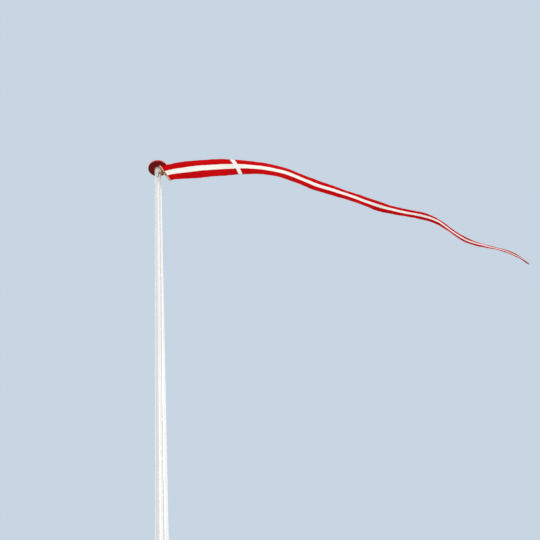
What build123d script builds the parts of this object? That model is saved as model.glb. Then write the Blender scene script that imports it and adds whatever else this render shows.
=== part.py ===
"""Eight metre glass-fibre flagpole, bolted to its concrete post, with halyard and pennant.

Millimetres, +Z up. The origin is the centre of the post's foot at ground level.
The pole stands on the -X side of the post, the halyard runs down its -Y side, and the
pennant flies towards +X.
"""
from build123d import *
import os
from math import atan2, cos, degrees, pi, radians, sin, sqrt

os.makedirs("parts", exist_ok=True)

# Concrete post
post_side = 120.0
post_height = 1000.0
post_top_flat = 10.0
post_arris = 8.0

# Pole
pole_length = 8000.0
pole_foot_height = 60.0
pole_foot_diameter = 120.0
pole_top_diameter = 57.0
pole_wall = 2.6
pole_post_gap = 15.5

# Clamps: a strap round the pole, a hat-shaped saddle against the post
lower_clamp_height = 200.0
upper_clamp_drop = 235.0
band_height = 50.0
band_thickness = 5.0
band_bend = 3.0
seat_clearance = 0.2
strap_ear_offset = 10.0
saddle_lip_offset = 40.0
clamp_bolt_inset = 16.0
ear_margin = 15.0

# Fasteners: thread diameter, width across flats, head and nut heights
clamp_bolt_diameter = 10.0
clamp_bolt_flats = 17.0
clamp_bolt_head = 6.4
clamp_nut_height = 8.0
clamp_bolt_tail = 7.0
post_bolt_diameter = 12.0
post_bolt_flats = 19.0
post_bolt_head = 7.5
post_nut_height = 10.0
post_bolt_tail = 23.0
washer_diameter = 24.0
washer_thickness = 2.5
bolt_hole_clearance = 0.5
thread_clearance = 0.1

# Knob and the slotted sleeve that carries it
knob_radius = 94.0
knob_dome_height = 56.0
knob_flank_radius = 27.0
knob_lip_height = 11.5
knob_lip_radius = 6.0
knob_wall = 3.0
knob_seat_gap = 6.0
nib_radius = 2.2
nib_height = 2.5
sleeve_length = 85.0
sleeve_wall = 2.4
sleeve_clearance = 0.3
sleeve_web = 4.0
sleeve_flange = 7.0
sleeve_flange_thickness = 3.0
slot_length = 34.5
slot_width = 2.8
slot_count = 4
slot_turn = 37.0

# Halyard truck: sheave, pin and bracket under the sleeve
rope_diameter = 6.0
halyard_reach = 80.0
truck_drop = 115.0
sheave_pitch_radius = 13.0
sheave_rim = 3.5
sheave_width = 10.0
groove_clearance = 0.2
pin_diameter = 6.0
pin_head_diameter = 10.0
pin_head_thickness = 2.0
pin_clearance = 0.1
cheek_thickness = 3.0
cheek_gap = 0.5
cheek_height = 34.0
truck_pad_height = 60.0
truck_pad_thickness = 4.0
truck_pad_width = 44.0

# Cleat and the rope made fast on it
cleat_height = 1300.0
cleat_span = 160.0
cleat_standoff = 34.0
cleat_horn_diameter = 16.0
cleat_tip_diameter = 9.0
cleat_horn_lean = 8.0
cleat_stem_length = 46.0
cleat_stem_width = 16.0
cleat_stem_round = 6.4
cleat_base_length = 90.0
cleat_base_width = 34.0
cleat_base_thickness = 5.0
cleat_base_corner = 8.0
hitch_turns = 3
hitch_loop_length = 66.0
hitch_clearance = 0.3

# Pennant stick and what ties it to the halyard
stick_length = 214.0
stick_diameter = 13.0
stick_tilt = 26.8
stick_top_drop = 40.0
stick_top_reach = 0.0
hook_drop = 148.0
hook_wire = 5.0
hook_eye_clearance = 1.0
hook_shank_diameter = 7.0
hook_ring_bore = 10.0
hook_reach = 36.0
becket_cord = 4.0
becket_clearance = 0.8
becket_whipping_offset = 22.0
whipping_turns = 2
becket_notch_margin = 1.5
stop_knot_diameter = 12.0
stop_knot_gap = 0.5

# Pennant cloth
pennant_length = 4000.0
pennant_hoist = 204.0
pennant_belly = 244.0
pennant_belly_place = 0.07
pennant_tip = 24.0
pennant_thickness = 3.0
pennant_seat_gap = 0.3
pennant_wave = 42.0
pennant_waves = 4.5
pennant_wave_growth = 0.7
pennant_stations = 40
pennant_walk_steps = 10
pennant_places = (0.0, 0.05, 0.10, 0.15, 0.20, 0.25, 0.30, 0.35,
                  0.40, 0.46, 0.52, 0.58, 0.66, 0.78, 0.90, 1.0)
pennant_climbs = (stick_tilt, 20.0, 26.0, 23.0, 8.0, 1.0, 0.0, -8.0,
                  -21.0, -28.0, -6.0, 0.0, -17.0, -23.0, -23.0, -21.0)
pennant_leans = (0.0, 0.0, 1.0, 2.0, 1.5, 0.0, -1.0, 0.0,
                 1.0, 2.0, 5.0, 9.0, 9.0, 6.0, 3.0, 2.0)

# Facets drawn round a wire or cord
wire_sides = 12

# Places worked out from the sizes
post_face = post_side / 2
pole_x = -(post_face + pole_post_gap + pole_foot_diameter / 2)
pole_top = pole_foot_height + pole_length
upper_clamp_height = post_height - upper_clamp_drop
knob_base = pole_top + knob_seat_gap
rope_radius = rope_diameter / 2
sheave_z = pole_top - truck_drop
sheave_y = -(halyard_reach - sheave_pitch_radius)


def pole_radius(z: float) -> float:
    """Outer radius of the conical pole at a height."""
    share = (z - pole_foot_height) / pole_length
    return (pole_foot_diameter + (pole_top_diameter - pole_foot_diameter) * share) / 2


sleeve_inner = pole_radius(knob_base - sleeve_length) + sleeve_clearance
sleeve_outer = sleeve_inner + sleeve_wall


def save(shape: Part, name: str) -> None:
    """Write one piece as a single STEP file."""
    shape.label = name
    export_step(shape, f"parts/{name}.step")


def along_x(x: float, y: float, z: float) -> Location:
    """A place whose own Z axis points along +X."""
    return Pos(x, y, z) * Rot(0, 90, 0)


def rod(radius: float, length: float) -> Part:
    """A cylinder that starts at its own origin."""
    return Cylinder(radius, length, align=(Align.CENTER, Align.CENTER, Align.MIN))


def hexagon(flats: float, height: float) -> Part:
    """A hexagonal head or nut with its outer corners turned down."""
    block = extrude(RegularPolygon(flats / 2, 6, major_radius=False), height)
    corner = flats / sqrt(3)
    turned = Cone(corner + height / 2, flats / 2, height, align=(Align.CENTER, Align.CENTER, Align.MIN))
    return block & turned


def concrete_post() -> Part:
    """Square post with a quarter-round top and two through holes."""
    nose = post_side - post_top_flat
    left, right = -post_face, post_face
    outline = Polyline((right - nose, post_height), (left, post_height), (left, 0), (right, 0),
                       (right, post_height - nose))
    outline += RadiusArc((right, post_height - nose), (right - nose, post_height), -nose)
    body = extrude(Plane.XZ * make_face(outline), post_face, both=True)
    rims = [e for e in body.edges() if abs(abs(e.center().Y) - post_face) < 0.01 and e.center().Z > 0.01]
    body = chamfer(rims, post_arris)
    for level in (lower_clamp_height, upper_clamp_height):
        body -= along_x(left, 0, level) * rod(post_bolt_diameter / 2 + bolt_hole_clearance, post_side)
    return body


def pole_tube() -> Part:
    """Conical glass-fibre tube, open at both ends."""
    foot, top = pole_foot_diameter / 2, pole_top_diameter / 2
    stand = (Align.CENTER, Align.CENTER, Align.MIN)
    body = Cone(foot, top, pole_length, align=stand)
    body -= Cone(foot - pole_wall, top - pole_wall, pole_length, align=stand)
    return Pos(pole_x, 0, pole_foot_height) * body


def band(path: Curve, level: float) -> Part:
    """Flat bar bent along a path round the pole, seen from above."""
    bar = extrude(trace(path, band_thickness), band_height / 2, both=True)
    return Pos(pole_x, 0, level) * bar


def clamp_sizes(level: float) -> tuple[float, float, float, float]:
    """Strap centre-line radius, saddle web place, bolt place and ear end of one clamp."""
    seat = pole_radius(level - band_height / 2) + seat_clearance
    half = band_thickness / 2
    nose = band_bend + band_thickness
    web = sqrt((seat + nose) ** 2 - (saddle_lip_offset + nose) ** 2) - nose + half
    bolt_y = seat + band_thickness + clamp_bolt_inset
    return seat + half, web, bolt_y, bolt_y + ear_margin


def both_bolts(bolt_y: float, x: float, level: float, hole: Part) -> Part:
    """The same hole at both clamp bolts."""
    return along_x(pole_x + x, bolt_y, level) * hole + along_x(pole_x + x, -bolt_y, level) * hole


def clamp_strap(level: float) -> Part:
    """Outer strap: half round the pole, with two ears for the bolts."""
    radius, _, bolt_y, end = clamp_sizes(level)
    ear = strap_ear_offset + band_thickness / 2
    bend = band_bend + band_thickness / 2
    path = FilletPolyline((ear, end), (ear, radius), (0, radius), radius=bend)
    path += CenterArc((0, 0), radius, 90, 180)
    path += FilletPolyline((0, -radius), (ear, -radius), (ear, -end), radius=bend)
    hole = rod(clamp_bolt_diameter / 2 + bolt_hole_clearance, band_thickness)
    return band(path, level) - both_bolts(bolt_y, strap_ear_offset, level, hole)


def clamp_saddle(level: float) -> Part:
    """Hat-shaped saddle: the pole rests on its two bends, its base on the post."""
    _, web, bolt_y, end = clamp_sizes(level)
    lip = saddle_lip_offset + band_thickness / 2
    base = -pole_x - post_face - band_thickness / 2
    path = FilletPolyline((lip, end), (lip, web), (base, web), (base, -web), (lip, -web), (lip, -end),
                          radius=band_bend + band_thickness / 2)
    hole = rod(clamp_bolt_diameter / 2 + bolt_hole_clearance, band_thickness)
    body = band(path, level) - both_bolts(bolt_y, saddle_lip_offset, level, hole)
    stud_hole = rod(post_bolt_diameter / 2 + bolt_hole_clearance, band_thickness)
    return body - along_x(-post_face - band_thickness, 0, level) * stud_hole


def clamp_bolt(level: float, side: int) -> Part:
    """Bolt that pulls strap and saddle together, with its head on the strap's ear."""
    bolt_y = side * clamp_sizes(level)[2]
    grip = saddle_lip_offset + band_thickness - strap_ear_offset
    head = Rot(180, 0, 0) * hexagon(clamp_bolt_flats, clamp_bolt_head)
    shank = rod(clamp_bolt_diameter / 2, grip + clamp_nut_height + clamp_bolt_tail)
    shank = chamfer(shank.edges().group_by(Axis.Z)[-1], clamp_bolt_diameter / 10)
    return along_x(pole_x + strap_ear_offset, bolt_y, level) * (head + shank)


def clamp_nut(level: float, side: int) -> Part:
    """Nut on the saddle's flange."""
    bolt_y = side * clamp_sizes(level)[2]
    bore = rod(clamp_bolt_diameter / 2 + thread_clearance, clamp_nut_height)
    nut = hexagon(clamp_bolt_flats, clamp_nut_height) - bore
    return along_x(pole_x + saddle_lip_offset + band_thickness, bolt_y, level) * nut


def post_bolt(level: float) -> Part:
    """Long bolt from inside the saddle through the post."""
    start = -post_face - band_thickness
    length = band_thickness + post_side + washer_thickness + post_nut_height + post_bolt_tail
    head = Rot(180, 0, 0) * hexagon(post_bolt_flats, post_bolt_head)
    shank = rod(post_bolt_diameter / 2, length)
    shank = chamfer(shank.edges().group_by(Axis.Z)[-1], post_bolt_diameter / 10)
    return along_x(start, 0, level) * (head + shank)


def post_washer(level: float) -> Part:
    """Washer on the back of the post."""
    bore = rod(post_bolt_diameter / 2 + bolt_hole_clearance, washer_thickness)
    return along_x(post_face, 0, level) * (rod(washer_diameter / 2, washer_thickness) - bore)


def post_nut(level: float) -> Part:
    """Nut at the back of the post."""
    bore = rod(post_bolt_diameter / 2 + thread_clearance, post_nut_height)
    nut = hexagon(post_bolt_flats, post_nut_height) - bore
    return along_x(post_face + washer_thickness, 0, level) * nut


def knob_outline(shrink: float) -> Face:
    """Half section of the knob: flat underside, round lip, round flank and a spherical crown."""
    reach, height, flank = knob_radius - shrink, knob_dome_height - shrink, knob_flank_radius - shrink
    bend = reach - flank
    crown = (bend ** 2 + height ** 2 - flank ** 2) / (2 * (height - flank))
    turn = degrees(atan2(crown - height, bend))
    under, lip = knob_lip_height - shrink, knob_lip_radius - shrink
    rim = CenterArc((reach - lip, lip - under), lip, -90, 90) + Line((reach, lip - under), (reach, 0))
    rim += CenterArc((bend, 0), flank, 0, turn) + CenterArc((0, height - crown), crown, turn, 90 - turn)
    closing = Polyline((reach - lip, -under), (0, -under), (0, height))
    return make_face(Plane.XZ * (rim + closing))


def knob() -> Part:
    """Hollow mushroom knob, open only where the sleeve enters its underside."""
    outside = revolve(knob_outline(0), Axis.Z)
    inside = revolve(knob_outline(knob_wall), Axis.Z)
    nib = Pos(0, 0, knob_dome_height - knob_wall) * rod(nib_radius, knob_wall + nib_height)
    nib = chamfer(nib.edges().group_by(Axis.Z)[-1], nib_radius / 3)
    mouth = Pos(0, 0, -knob_lip_height) * rod(sleeve_outer + sleeve_clearance / 2, knob_wall)
    return Pos(pole_x, 0, knob_base + knob_lip_height) * (outside - inside - mouth + nib)


def knob_sleeve() -> Part:
    """White sleeve over the pole's top, slotted so that it can spread on the cone."""
    crest = knob_wall + sleeve_flange_thickness
    body = Pos(0, 0, -sleeve_length) * rod(sleeve_outer, sleeve_length + crest)
    body += Pos(0, 0, knob_wall) * rod(sleeve_outer + sleeve_flange, sleeve_flange_thickness)
    body -= Pos(0, 0, -sleeve_length) * rod(sleeve_inner, sleeve_length - knob_seat_gap)
    web_top = sleeve_web - knob_seat_gap
    body -= Pos(0, 0, web_top) * rod(sleeve_inner, crest - web_top)
    slot = Box(sleeve_outer * 2, slot_width, slot_length, align=(Align.MIN, Align.CENTER, Align.MIN))
    for turn in range(slot_count):
        body -= Pos(0, 0, -sleeve_length) * Rot(0, 0, slot_turn + turn * 360 / slot_count) * slot
    return Pos(pole_x, 0, knob_base) * body


def truck_bracket() -> Part:
    """Bronze pad on the pole with two cheeks for the sheave."""
    pole_here = pole_radius(sheave_z - truck_pad_height / 2) + seat_clearance
    half_gap = sheave_width / 2 + cheek_gap
    outer = -sheave_y + sheave_pitch_radius
    cheek_length = outer - pole_here
    cheek = Box(cheek_thickness, cheek_length, cheek_height, align=(Align.MIN, Align.MAX, Align.CENTER))
    cheek = fillet(cheek.edges().filter_by(Axis.X).group_by(Axis.Y)[0], cheek_height / 3)
    pad = Box(truck_pad_width, pole_here + truck_pad_thickness, truck_pad_height,
              align=(Align.CENTER, Align.MAX, Align.CENTER))
    pad &= Cylinder(pole_here + truck_pad_thickness, truck_pad_height)
    body = pad
    for side in (0, 1):
        body += Pos(half_gap if side else -half_gap - cheek_thickness, -pole_here, 0) * cheek
    back_wall = Box(2 * half_gap, truck_pad_thickness, cheek_height,
                    align=(Align.CENTER, Align.MAX, Align.CENTER))
    body += Pos(0, -pole_here, 0) * back_wall
    body -= Cylinder(pole_here, truck_pad_height)
    bore = rod(pin_diameter / 2 + pin_clearance, truck_pad_width)
    body -= along_x(-truck_pad_width / 2, sheave_y, 0) * bore
    return Pos(pole_x, 0, sheave_z) * body


def wire_ring(radius: float, wire: float, angle: float = 360) -> Part:
    """Ring of round wire, or part of one from the X axis, its section drawn with flat facets."""
    return revolve(Plane.XZ * Pos(radius, 0) * RegularPolygon(wire / 2, wire_sides), Axis.Z, angle)


def truck_sheave() -> Part:
    """Grooved sheave that the halyard turns over."""
    rim = sheave_pitch_radius + sheave_rim
    wheel = Cylinder(rim, sheave_width) - Cylinder(pin_diameter / 2 + pin_clearance, sheave_width)
    groove = rope_radius + groove_clearance
    wheel -= wire_ring(sheave_pitch_radius, 2 * groove)
    mouth = Cylinder(rim, 2 * groove) - Cylinder(sheave_pitch_radius, 2 * groove)
    return Pos(pole_x, sheave_y, sheave_z) * Rot(0, 90, 0) * (wheel - mouth)


def truck_pin() -> Part:
    """Riveted pin through cheeks and sheave."""
    half = sheave_width / 2 + cheek_gap + cheek_thickness
    pin = Cylinder(pin_diameter / 2, 2 * half)
    head = rod(pin_head_diameter / 2, pin_head_thickness)
    head = chamfer(head.edges().group_by(Axis.Z)[-1], pin_head_thickness / 2)
    pin += Pos(0, 0, half) * head + Rot(180, 0, 0) * Pos(0, 0, half) * head
    return Pos(pole_x, sheave_y, sheave_z) * Rot(0, 90, 0) * pin


def hitch_places() -> list[float]:
    """Y places of the rope turns on the cleat, from the base outwards."""
    plate_face = pole_radius(cleat_height - cleat_base_length / 2) + cleat_base_thickness
    first = plate_face + hitch_clearance + rope_radius
    return [-(first + turn * rope_diameter) for turn in range(hitch_turns)]


def halyard_line(top_y: float, foot_y: float) -> Part:
    """One taut fall between the sheave and the turns on the cleat."""
    foot_z = cleat_height + hitch_loop_length / 2 + rope_radius
    run = (0, foot_y - top_y, foot_z - sheave_z)
    length = sqrt(run[1] ** 2 + run[2] ** 2)
    return extrude(Pos(pole_x, top_y, sheave_z) * Circle(rope_radius), length, dir=run)


def halyard_outer_line() -> Part:
    """The fall that carries the pennant."""
    return halyard_line(-halyard_reach, hitch_places()[-1])


def halyard_stop_knot() -> Part:
    """The knot under the hook's eye."""
    knot_z = pole_top - hook_drop - hook_wire / 2 - stop_knot_gap - stop_knot_diameter / 2
    knot = Cylinder(stop_knot_diameter / 2, stop_knot_diameter)
    knot = chamfer(knot.edges(), stop_knot_diameter / 4)
    knot -= Cylinder(rope_radius + thread_clearance, stop_knot_diameter)
    return Pos(pole_x, -halyard_reach, knot_z) * knot


def halyard_inner_line() -> Part:
    """The fall that runs close to the pole."""
    return halyard_line(sheave_y + sheave_pitch_radius, hitch_places()[0])


def halyard_top_turn() -> Part:
    """The rope over the sheave, from fall to fall."""
    upright = Plane(origin=(pole_x, sheave_y, sheave_z), x_dir=(0, 1, 0), z_dir=(1, 0, 0))
    return upright * wire_ring(sheave_pitch_radius, rope_diameter, 180)


def stadium_ring(length: float, radius: float, wire: float) -> Part:
    """Closed oval ring of round wire, its long side along X, in the XY plane."""
    straight = length - 2 * radius
    side = extrude(Plane.YZ * Pos(0, 0, -straight / 2) * RegularPolygon(wire / 2, wire_sides), straight)
    ring = Pos(straight / 2, 0, 0) * Rot(0, 0, -90) * wire_ring(radius, wire, 180)
    ring += Pos(-straight / 2, 0, 0) * Rot(0, 0, 90) * wire_ring(radius, wire, 180)
    return ring + Pos(0, radius, 0) * side + Pos(0, -radius, 0) * side


def cleat() -> Part:
    """Two-horned cleat on a base that follows the pole."""
    pole_here = pole_radius(cleat_height - cleat_base_length / 2) + seat_clearance
    plate = Box(cleat_base_width, pole_here + cleat_base_thickness, cleat_base_length,
                align=(Align.CENTER, Align.MAX, Align.CENTER))
    plate = fillet(plate.edges().filter_by(Axis.Y), cleat_base_corner)
    reach = pole_here + cleat_standoff
    stem = Box(cleat_stem_width, reach, cleat_stem_length, align=(Align.CENTER, Align.MAX, Align.CENTER))
    stem = fillet(stem.edges().filter_by(Axis.Y), cleat_stem_round)
    horn_length = cleat_span / 2
    horn = Cone(cleat_horn_diameter / 2, cleat_tip_diameter / 2, horn_length,
                align=(Align.CENTER, Align.CENTER, Align.MIN))
    horn += Pos(0, 0, horn_length) * Sphere(cleat_tip_diameter / 2)
    body = plate + stem + Pos(0, -reach, 0) * Sphere(cleat_horn_diameter / 2)
    body += Pos(0, -reach, 0) * Rot(cleat_horn_lean, 0, 0) * horn
    body += Pos(0, -reach, 0) * Rot(180 - cleat_horn_lean, 0, 0) * horn
    body -= Cylinder(pole_here, 2 * cleat_span)
    return Pos(pole_x, 0, cleat_height) * body


def cleat_hitch() -> Part:
    """The halyard's turns round the cleat's stem, as one oval ring."""
    inner_width = cleat_stem_width + 2 * hitch_clearance
    outer_width = inner_width + 2 * rope_diameter
    inner = SlotOverall(hitch_loop_length - rope_diameter, inner_width, rotation=90)
    ring = SlotOverall(hitch_loop_length + rope_diameter, outer_width, rotation=90) - inner
    face = Pos(pole_x, hitch_places()[0] + rope_radius, cleat_height) * Rot(90, 0, 0) * ring
    return extrude(face, hitch_turns * rope_diameter)


def stick_place(share: float) -> tuple[float, float]:
    """X and Z of a point on the stick's axis, from its top end to its lower end."""
    drop = share * stick_length
    x = pole_x + stick_top_reach + drop * sin(radians(stick_tilt))
    return x, pole_top - stick_top_drop - drop * cos(radians(stick_tilt))


def on_stick(share: float) -> Location:
    """A place on the stick whose own Z axis points up along it."""
    x, z = stick_place(share)
    return Pos(x, -halyard_reach, z) * Rot(0, -stick_tilt, 0)


def hoist_stick() -> Part:
    """Round wooden stick that spreads the pennant's hoist."""
    body = on_stick(0.5) * Cylinder(stick_diameter / 2, stick_length)
    ends = [e for e in body.edges() if e.geom_type == GeomType.CIRCLE]
    return chamfer(ends, stick_diameter / 8)


def hook_share() -> float:
    """Where along the stick the becket sits, level with the hook."""
    return (hook_drop - stick_top_drop) / (stick_length * cos(radians(stick_tilt)))


def snap_hook() -> Part:
    """Brass hook: an eye round the halyard, a shank, and a ring for the becket."""
    eye_radius = rope_radius + hook_eye_clearance + hook_wire / 2
    ring_radius = (hook_ring_bore + hook_wire) / 2
    eye = wire_ring(eye_radius, hook_wire)
    ring = Pos(hook_reach, 0, 0) * Rot(90, 0, 0) * wire_ring(ring_radius, hook_wire)
    shank_end = hook_reach - ring_radius
    shank = along_x(eye_radius, 0, 0) * rod(hook_shank_diameter / 2, shank_end - eye_radius)
    return Pos(pole_x, -halyard_reach, pole_top - hook_drop) * (eye + shank + ring)


def stick_becket() -> Part:
    """Cord loop through the hook's ring and round the stick, whipped above and below."""
    stick_x = stick_place(hook_share())[0] - pole_x
    half_width = stick_diameter / 2 / cos(radians(stick_tilt))
    radius = half_width + becket_clearance + becket_cord / 2
    start, end = hook_reach, stick_x + radius
    ring = stadium_ring(end - start, radius, becket_cord)
    loop = Pos(pole_x + (start + end) / 2, -halyard_reach, pole_top - hook_drop) * ring
    bore = stick_diameter / 2 + seat_clearance
    whipping = Cylinder(bore + becket_cord, whipping_turns * becket_cord)
    whipping -= Cylinder(bore, whipping_turns * becket_cord)
    place = on_stick(hook_share())
    upper = place * Pos(0, 0, becket_whipping_offset) * whipping
    lower = place * Pos(0, 0, -becket_whipping_offset) * whipping
    return Part(Compound([loop, upper, lower]).wrapped)


def pennant_width(share: float) -> float:
    """Width of the cloth along its length: it opens from the stick, then tapers."""
    if share < pennant_belly_place:
        return pennant_hoist + (pennant_belly - pennant_hoist) * share / pennant_belly_place
    run = (share - pennant_belly_place) / (1 - pennant_belly_place)
    return pennant_belly + (pennant_tip - pennant_belly) * run


def pennant_angle(angles: tuple[float, ...], share: float) -> float:
    """Climb or lean of the flying cloth, in degrees, at a share of its length."""
    places = pennant_places
    for i in range(1, len(places)):
        if share <= places[i]:
            run = (share - places[i - 1]) / (places[i] - places[i - 1])
            return angles[i - 1] + (angles[i] - angles[i - 1]) * run
    return angles[-1]


def pennant_path() -> list[Vector]:
    """Centre line of the cloth, found by walking along its climbs."""
    x, z = stick_place(0.5)
    offset = stick_diameter / 2 + pennant_seat_gap
    x += offset * cos(radians(stick_tilt))
    z += offset * sin(radians(stick_tilt))
    steps = pennant_walk_steps * pennant_stations
    points = []
    for i in range(steps + 1):
        share = i / steps
        if i % pennant_walk_steps == 0:
            sway = pennant_wave * share ** pennant_wave_growth * sin(2 * pi * pennant_waves * share)
            points.append(Vector(x, -halyard_reach - sway, z))
        climb = radians(pennant_angle(pennant_climbs, share + 0.5 / steps))
        x += pennant_length / steps * cos(climb)
        z += pennant_length / steps * sin(climb)
    return points


def pennant() -> Part:
    """Long tapering cloth, lofted through cross-sections along its flight."""
    points = pennant_path()
    sections = []
    for i, point in enumerate(points):
        share = i / pennant_stations
        if i == 0:
            tangent = Vector(cos(radians(stick_tilt)), 0, sin(radians(stick_tilt)))
        else:
            tangent = (points[min(i + 1, pennant_stations)] - points[i - 1]).normalized()
        side = Vector(0, 1, 0) - tangent * tangent.Y
        across = Plane(point, x_dir=side, z_dir=tangent)
        lean = Rot(0, 0, pennant_angle(pennant_leans, share))
        sections.append(across * lean * Rectangle(pennant_thickness, pennant_width(share)))
    cloth = loft(sections)
    room = stick_diameter / 2 + becket_clearance + becket_cord + becket_notch_margin
    notch = 2 * becket_whipping_offset + whipping_turns * becket_cord + 2 * becket_notch_margin
    return cloth - on_stick(hook_share()) * Cylinder(room, notch)


def save_clamp(name: str, level: float) -> None:
    """All pieces of one clamp."""
    save(clamp_strap(level), f"{name}_clamp_strap")
    save(clamp_saddle(level), f"{name}_clamp_saddle")
    for side, word in ((-1, "front"), (1, "rear")):
        save(clamp_bolt(level, side), f"{name}_clamp_bolt_{word}")
        save(clamp_nut(level, side), f"{name}_clamp_nut_{word}")
    save(post_bolt(level), f"{name}_post_bolt")
    save(post_washer(level), f"{name}_post_washer")
    save(post_nut(level), f"{name}_post_nut")


save(concrete_post(), "concrete_post")
save(pole_tube(), "pole_tube")
save_clamp("upper", upper_clamp_height)
save_clamp("lower", lower_clamp_height)
save(knob(), "knob")
save(knob_sleeve(), "knob_sleeve")
save(truck_bracket(), "truck_bracket")
save(truck_sheave(), "truck_sheave")
save(truck_pin(), "truck_pin")
save(halyard_outer_line(), "halyard_outer_line")
save(halyard_inner_line(), "halyard_inner_line")
save(halyard_top_turn(), "halyard_top_turn")
save(halyard_stop_knot(), "halyard_stop_knot")
save(cleat(), "cleat")
save(cleat_hitch(), "cleat_hitch")
save(hoist_stick(), "hoist_stick")
save(snap_hook(), "snap_hook")
save(stick_becket(), "stick_becket")
save(pennant(), "pennant")
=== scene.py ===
"""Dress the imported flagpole: finishes, flying pennant, laid rope, small fixings, light and camera.

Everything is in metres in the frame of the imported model: +Z is up and the origin is the centre of
the concrete post's foot. The pole stands on the -X side of the post, the halyard runs down its
-Y side and the pennant flies towards +X.
"""
import logging
import math
from collections.abc import Callable
from dataclasses import dataclass
from enum import Enum
from functools import cache

import bmesh
import bpy
import numpy as np
from mathutils import Matrix, Vector


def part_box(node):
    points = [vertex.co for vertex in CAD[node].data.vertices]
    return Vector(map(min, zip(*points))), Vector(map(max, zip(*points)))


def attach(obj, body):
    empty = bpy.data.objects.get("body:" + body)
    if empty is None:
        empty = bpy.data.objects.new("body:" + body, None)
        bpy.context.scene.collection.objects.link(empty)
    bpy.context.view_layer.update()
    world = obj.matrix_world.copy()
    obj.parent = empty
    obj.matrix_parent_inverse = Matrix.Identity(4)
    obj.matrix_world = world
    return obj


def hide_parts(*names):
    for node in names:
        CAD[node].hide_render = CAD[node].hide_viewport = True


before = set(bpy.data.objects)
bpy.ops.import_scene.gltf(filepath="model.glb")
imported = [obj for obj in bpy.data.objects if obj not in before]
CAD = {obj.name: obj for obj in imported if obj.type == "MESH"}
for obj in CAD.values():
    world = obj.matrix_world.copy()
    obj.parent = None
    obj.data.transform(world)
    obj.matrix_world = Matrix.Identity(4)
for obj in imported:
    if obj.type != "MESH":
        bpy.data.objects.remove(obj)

log = logging.getLogger("flagpole")

MM = 0.001
TURN = 2 * math.pi
QUARTER = math.pi / 2
AXIS_X, AXIS_Y, AXIS_Z = np.eye(3)
CORNERS = ((-1, -1), (1, -1), (-1, 1), (1, 1))

Array = np.ndarray
Piece = bpy.types.Object
Socket = bpy.types.NodeSocket
Sockets = dict[str, Socket]
Value = Socket | float | tuple[float, ...]
Colour = tuple[float, float, float, float]


class Body(str, Enum):
    """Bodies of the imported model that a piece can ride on."""

    POLE = "pole"
    RIG = "pennant_rig"


class Slot(str, Enum):
    """Material slots of the record."""

    CONCRETE = "concrete"
    GELCOAT = "white_gelcoat"
    GALVANISED = "galvanised_steel"
    ZINC = "zinc_fasteners"
    KNOB = "red_knob"
    SLEEVE = "white_sleeve"
    BRONZE = "bronze"
    ROPE = "rope"
    CLEAT = "cast_cleat"
    WOOD = "stick_wood"
    BRASS = "brass_hook"
    CLOTH = "pennant_cloth"


class Closed(Enum):
    """How a grid of points closes on itself."""

    OPEN = "open"
    ROUND = "round"
    RING = "ring"


class Step(str, Enum):
    """Steps of the Math node that the finishes use."""

    ADD = "ADD"
    SUBTRACT = "SUBTRACT"
    MULTIPLY = "MULTIPLY"
    DIVIDE = "DIVIDE"
    SINE = "SINE"
    ABSOLUTE = "ABSOLUTE"
    LESS = "LESS_THAN"
    MORE = "GREATER_THAN"
    LOWEST = "MINIMUM"
    HIGHEST = "MAXIMUM"
    FRACTION = "FRACT"


class Kind(str, Enum):
    """Kinds of socket on a shared effect."""

    NUMBER = "NodeSocketFloat"
    COLOUR = "NodeSocketColor"
    VECTOR = "NodeSocketVector"


# Surfaces


def quad_corners(rows: int, columns: int, closed: Closed) -> tuple[Array, Array]:
    """Row and column of the four corners of every quad of a grid.

    Args:
        rows: Number of rows of points.
        columns: Number of points in a row.
        closed: ROUND joins each row's end to its start, RING also joins the last row to the first.

    Returns:
        Two arrays of shape (quads, 4), not yet wrapped, so that they also index a closed UV grid.
    """
    along = rows if closed is Closed.RING else rows - 1
    around = columns - 1 if closed is Closed.OPEN else columns
    i, j = (part.ravel() for part in np.mgrid[0:along, 0:around])
    return np.stack([i, i, i + 1, i + 1], axis=1), np.stack([j, j + 1, j + 1, j], axis=1)


def surface(name: str, points: Array, uv: dict[str, Array], closed: Closed = Closed.OPEN,
            capped: bool = False, crease: float = 40.0) -> Piece:
    """Make a mesh from a grid of points.

    A quad runs first along its row and then to the next row, so its face looks along
    (step along the row) x (step to the next row), which is outwards for every shape here.

    Args:
        name: Name of the piece.
        points: Array (rows, columns, 3) in metres.
        uv: Arrays (rows or rows + 1, columns or columns + 1, 2) by layer name.
        closed: How the grid closes.
        capped: Close the first and last row of a ROUND grid with flat faces.
        crease: Angle in degrees past which an edge is shaded sharp.

    Returns:
        The linked object, at the origin, unturned and unscaled.
    """
    rows, columns = points.shape[:2]
    i, j = quad_corners(rows, columns, closed)
    faces = ((i % rows) * columns + j % columns).tolist()
    corners = {layer: grid[i, j].reshape(-1, 2) for layer, grid in uv.items()}
    if capped:
        faces.append(list(range(columns))[::-1])
        faces.append(list(range((rows - 1) * columns, rows * columns)))
        corners = {
            layer: np.concatenate([flat, uv[layer][0, :columns][::-1], uv[layer][rows - 1, :columns]])
            for layer, flat in corners.items()
        }
    mesh = bpy.data.meshes.new(name)
    mesh.from_pydata(points.reshape(-1, 3).tolist(), [], faces)
    for layer, flat in corners.items():
        mesh.uv_layers.new(name=layer).data.foreach_set("uv", flat.astype(np.float32).ravel())
    weld(mesh)
    mesh.shade_smooth()
    mesh.set_sharp_from_angle(angle=math.radians(crease))
    piece = bpy.data.objects.new(name, mesh)
    bpy.context.scene.collection.objects.link(piece)
    return piece


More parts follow.
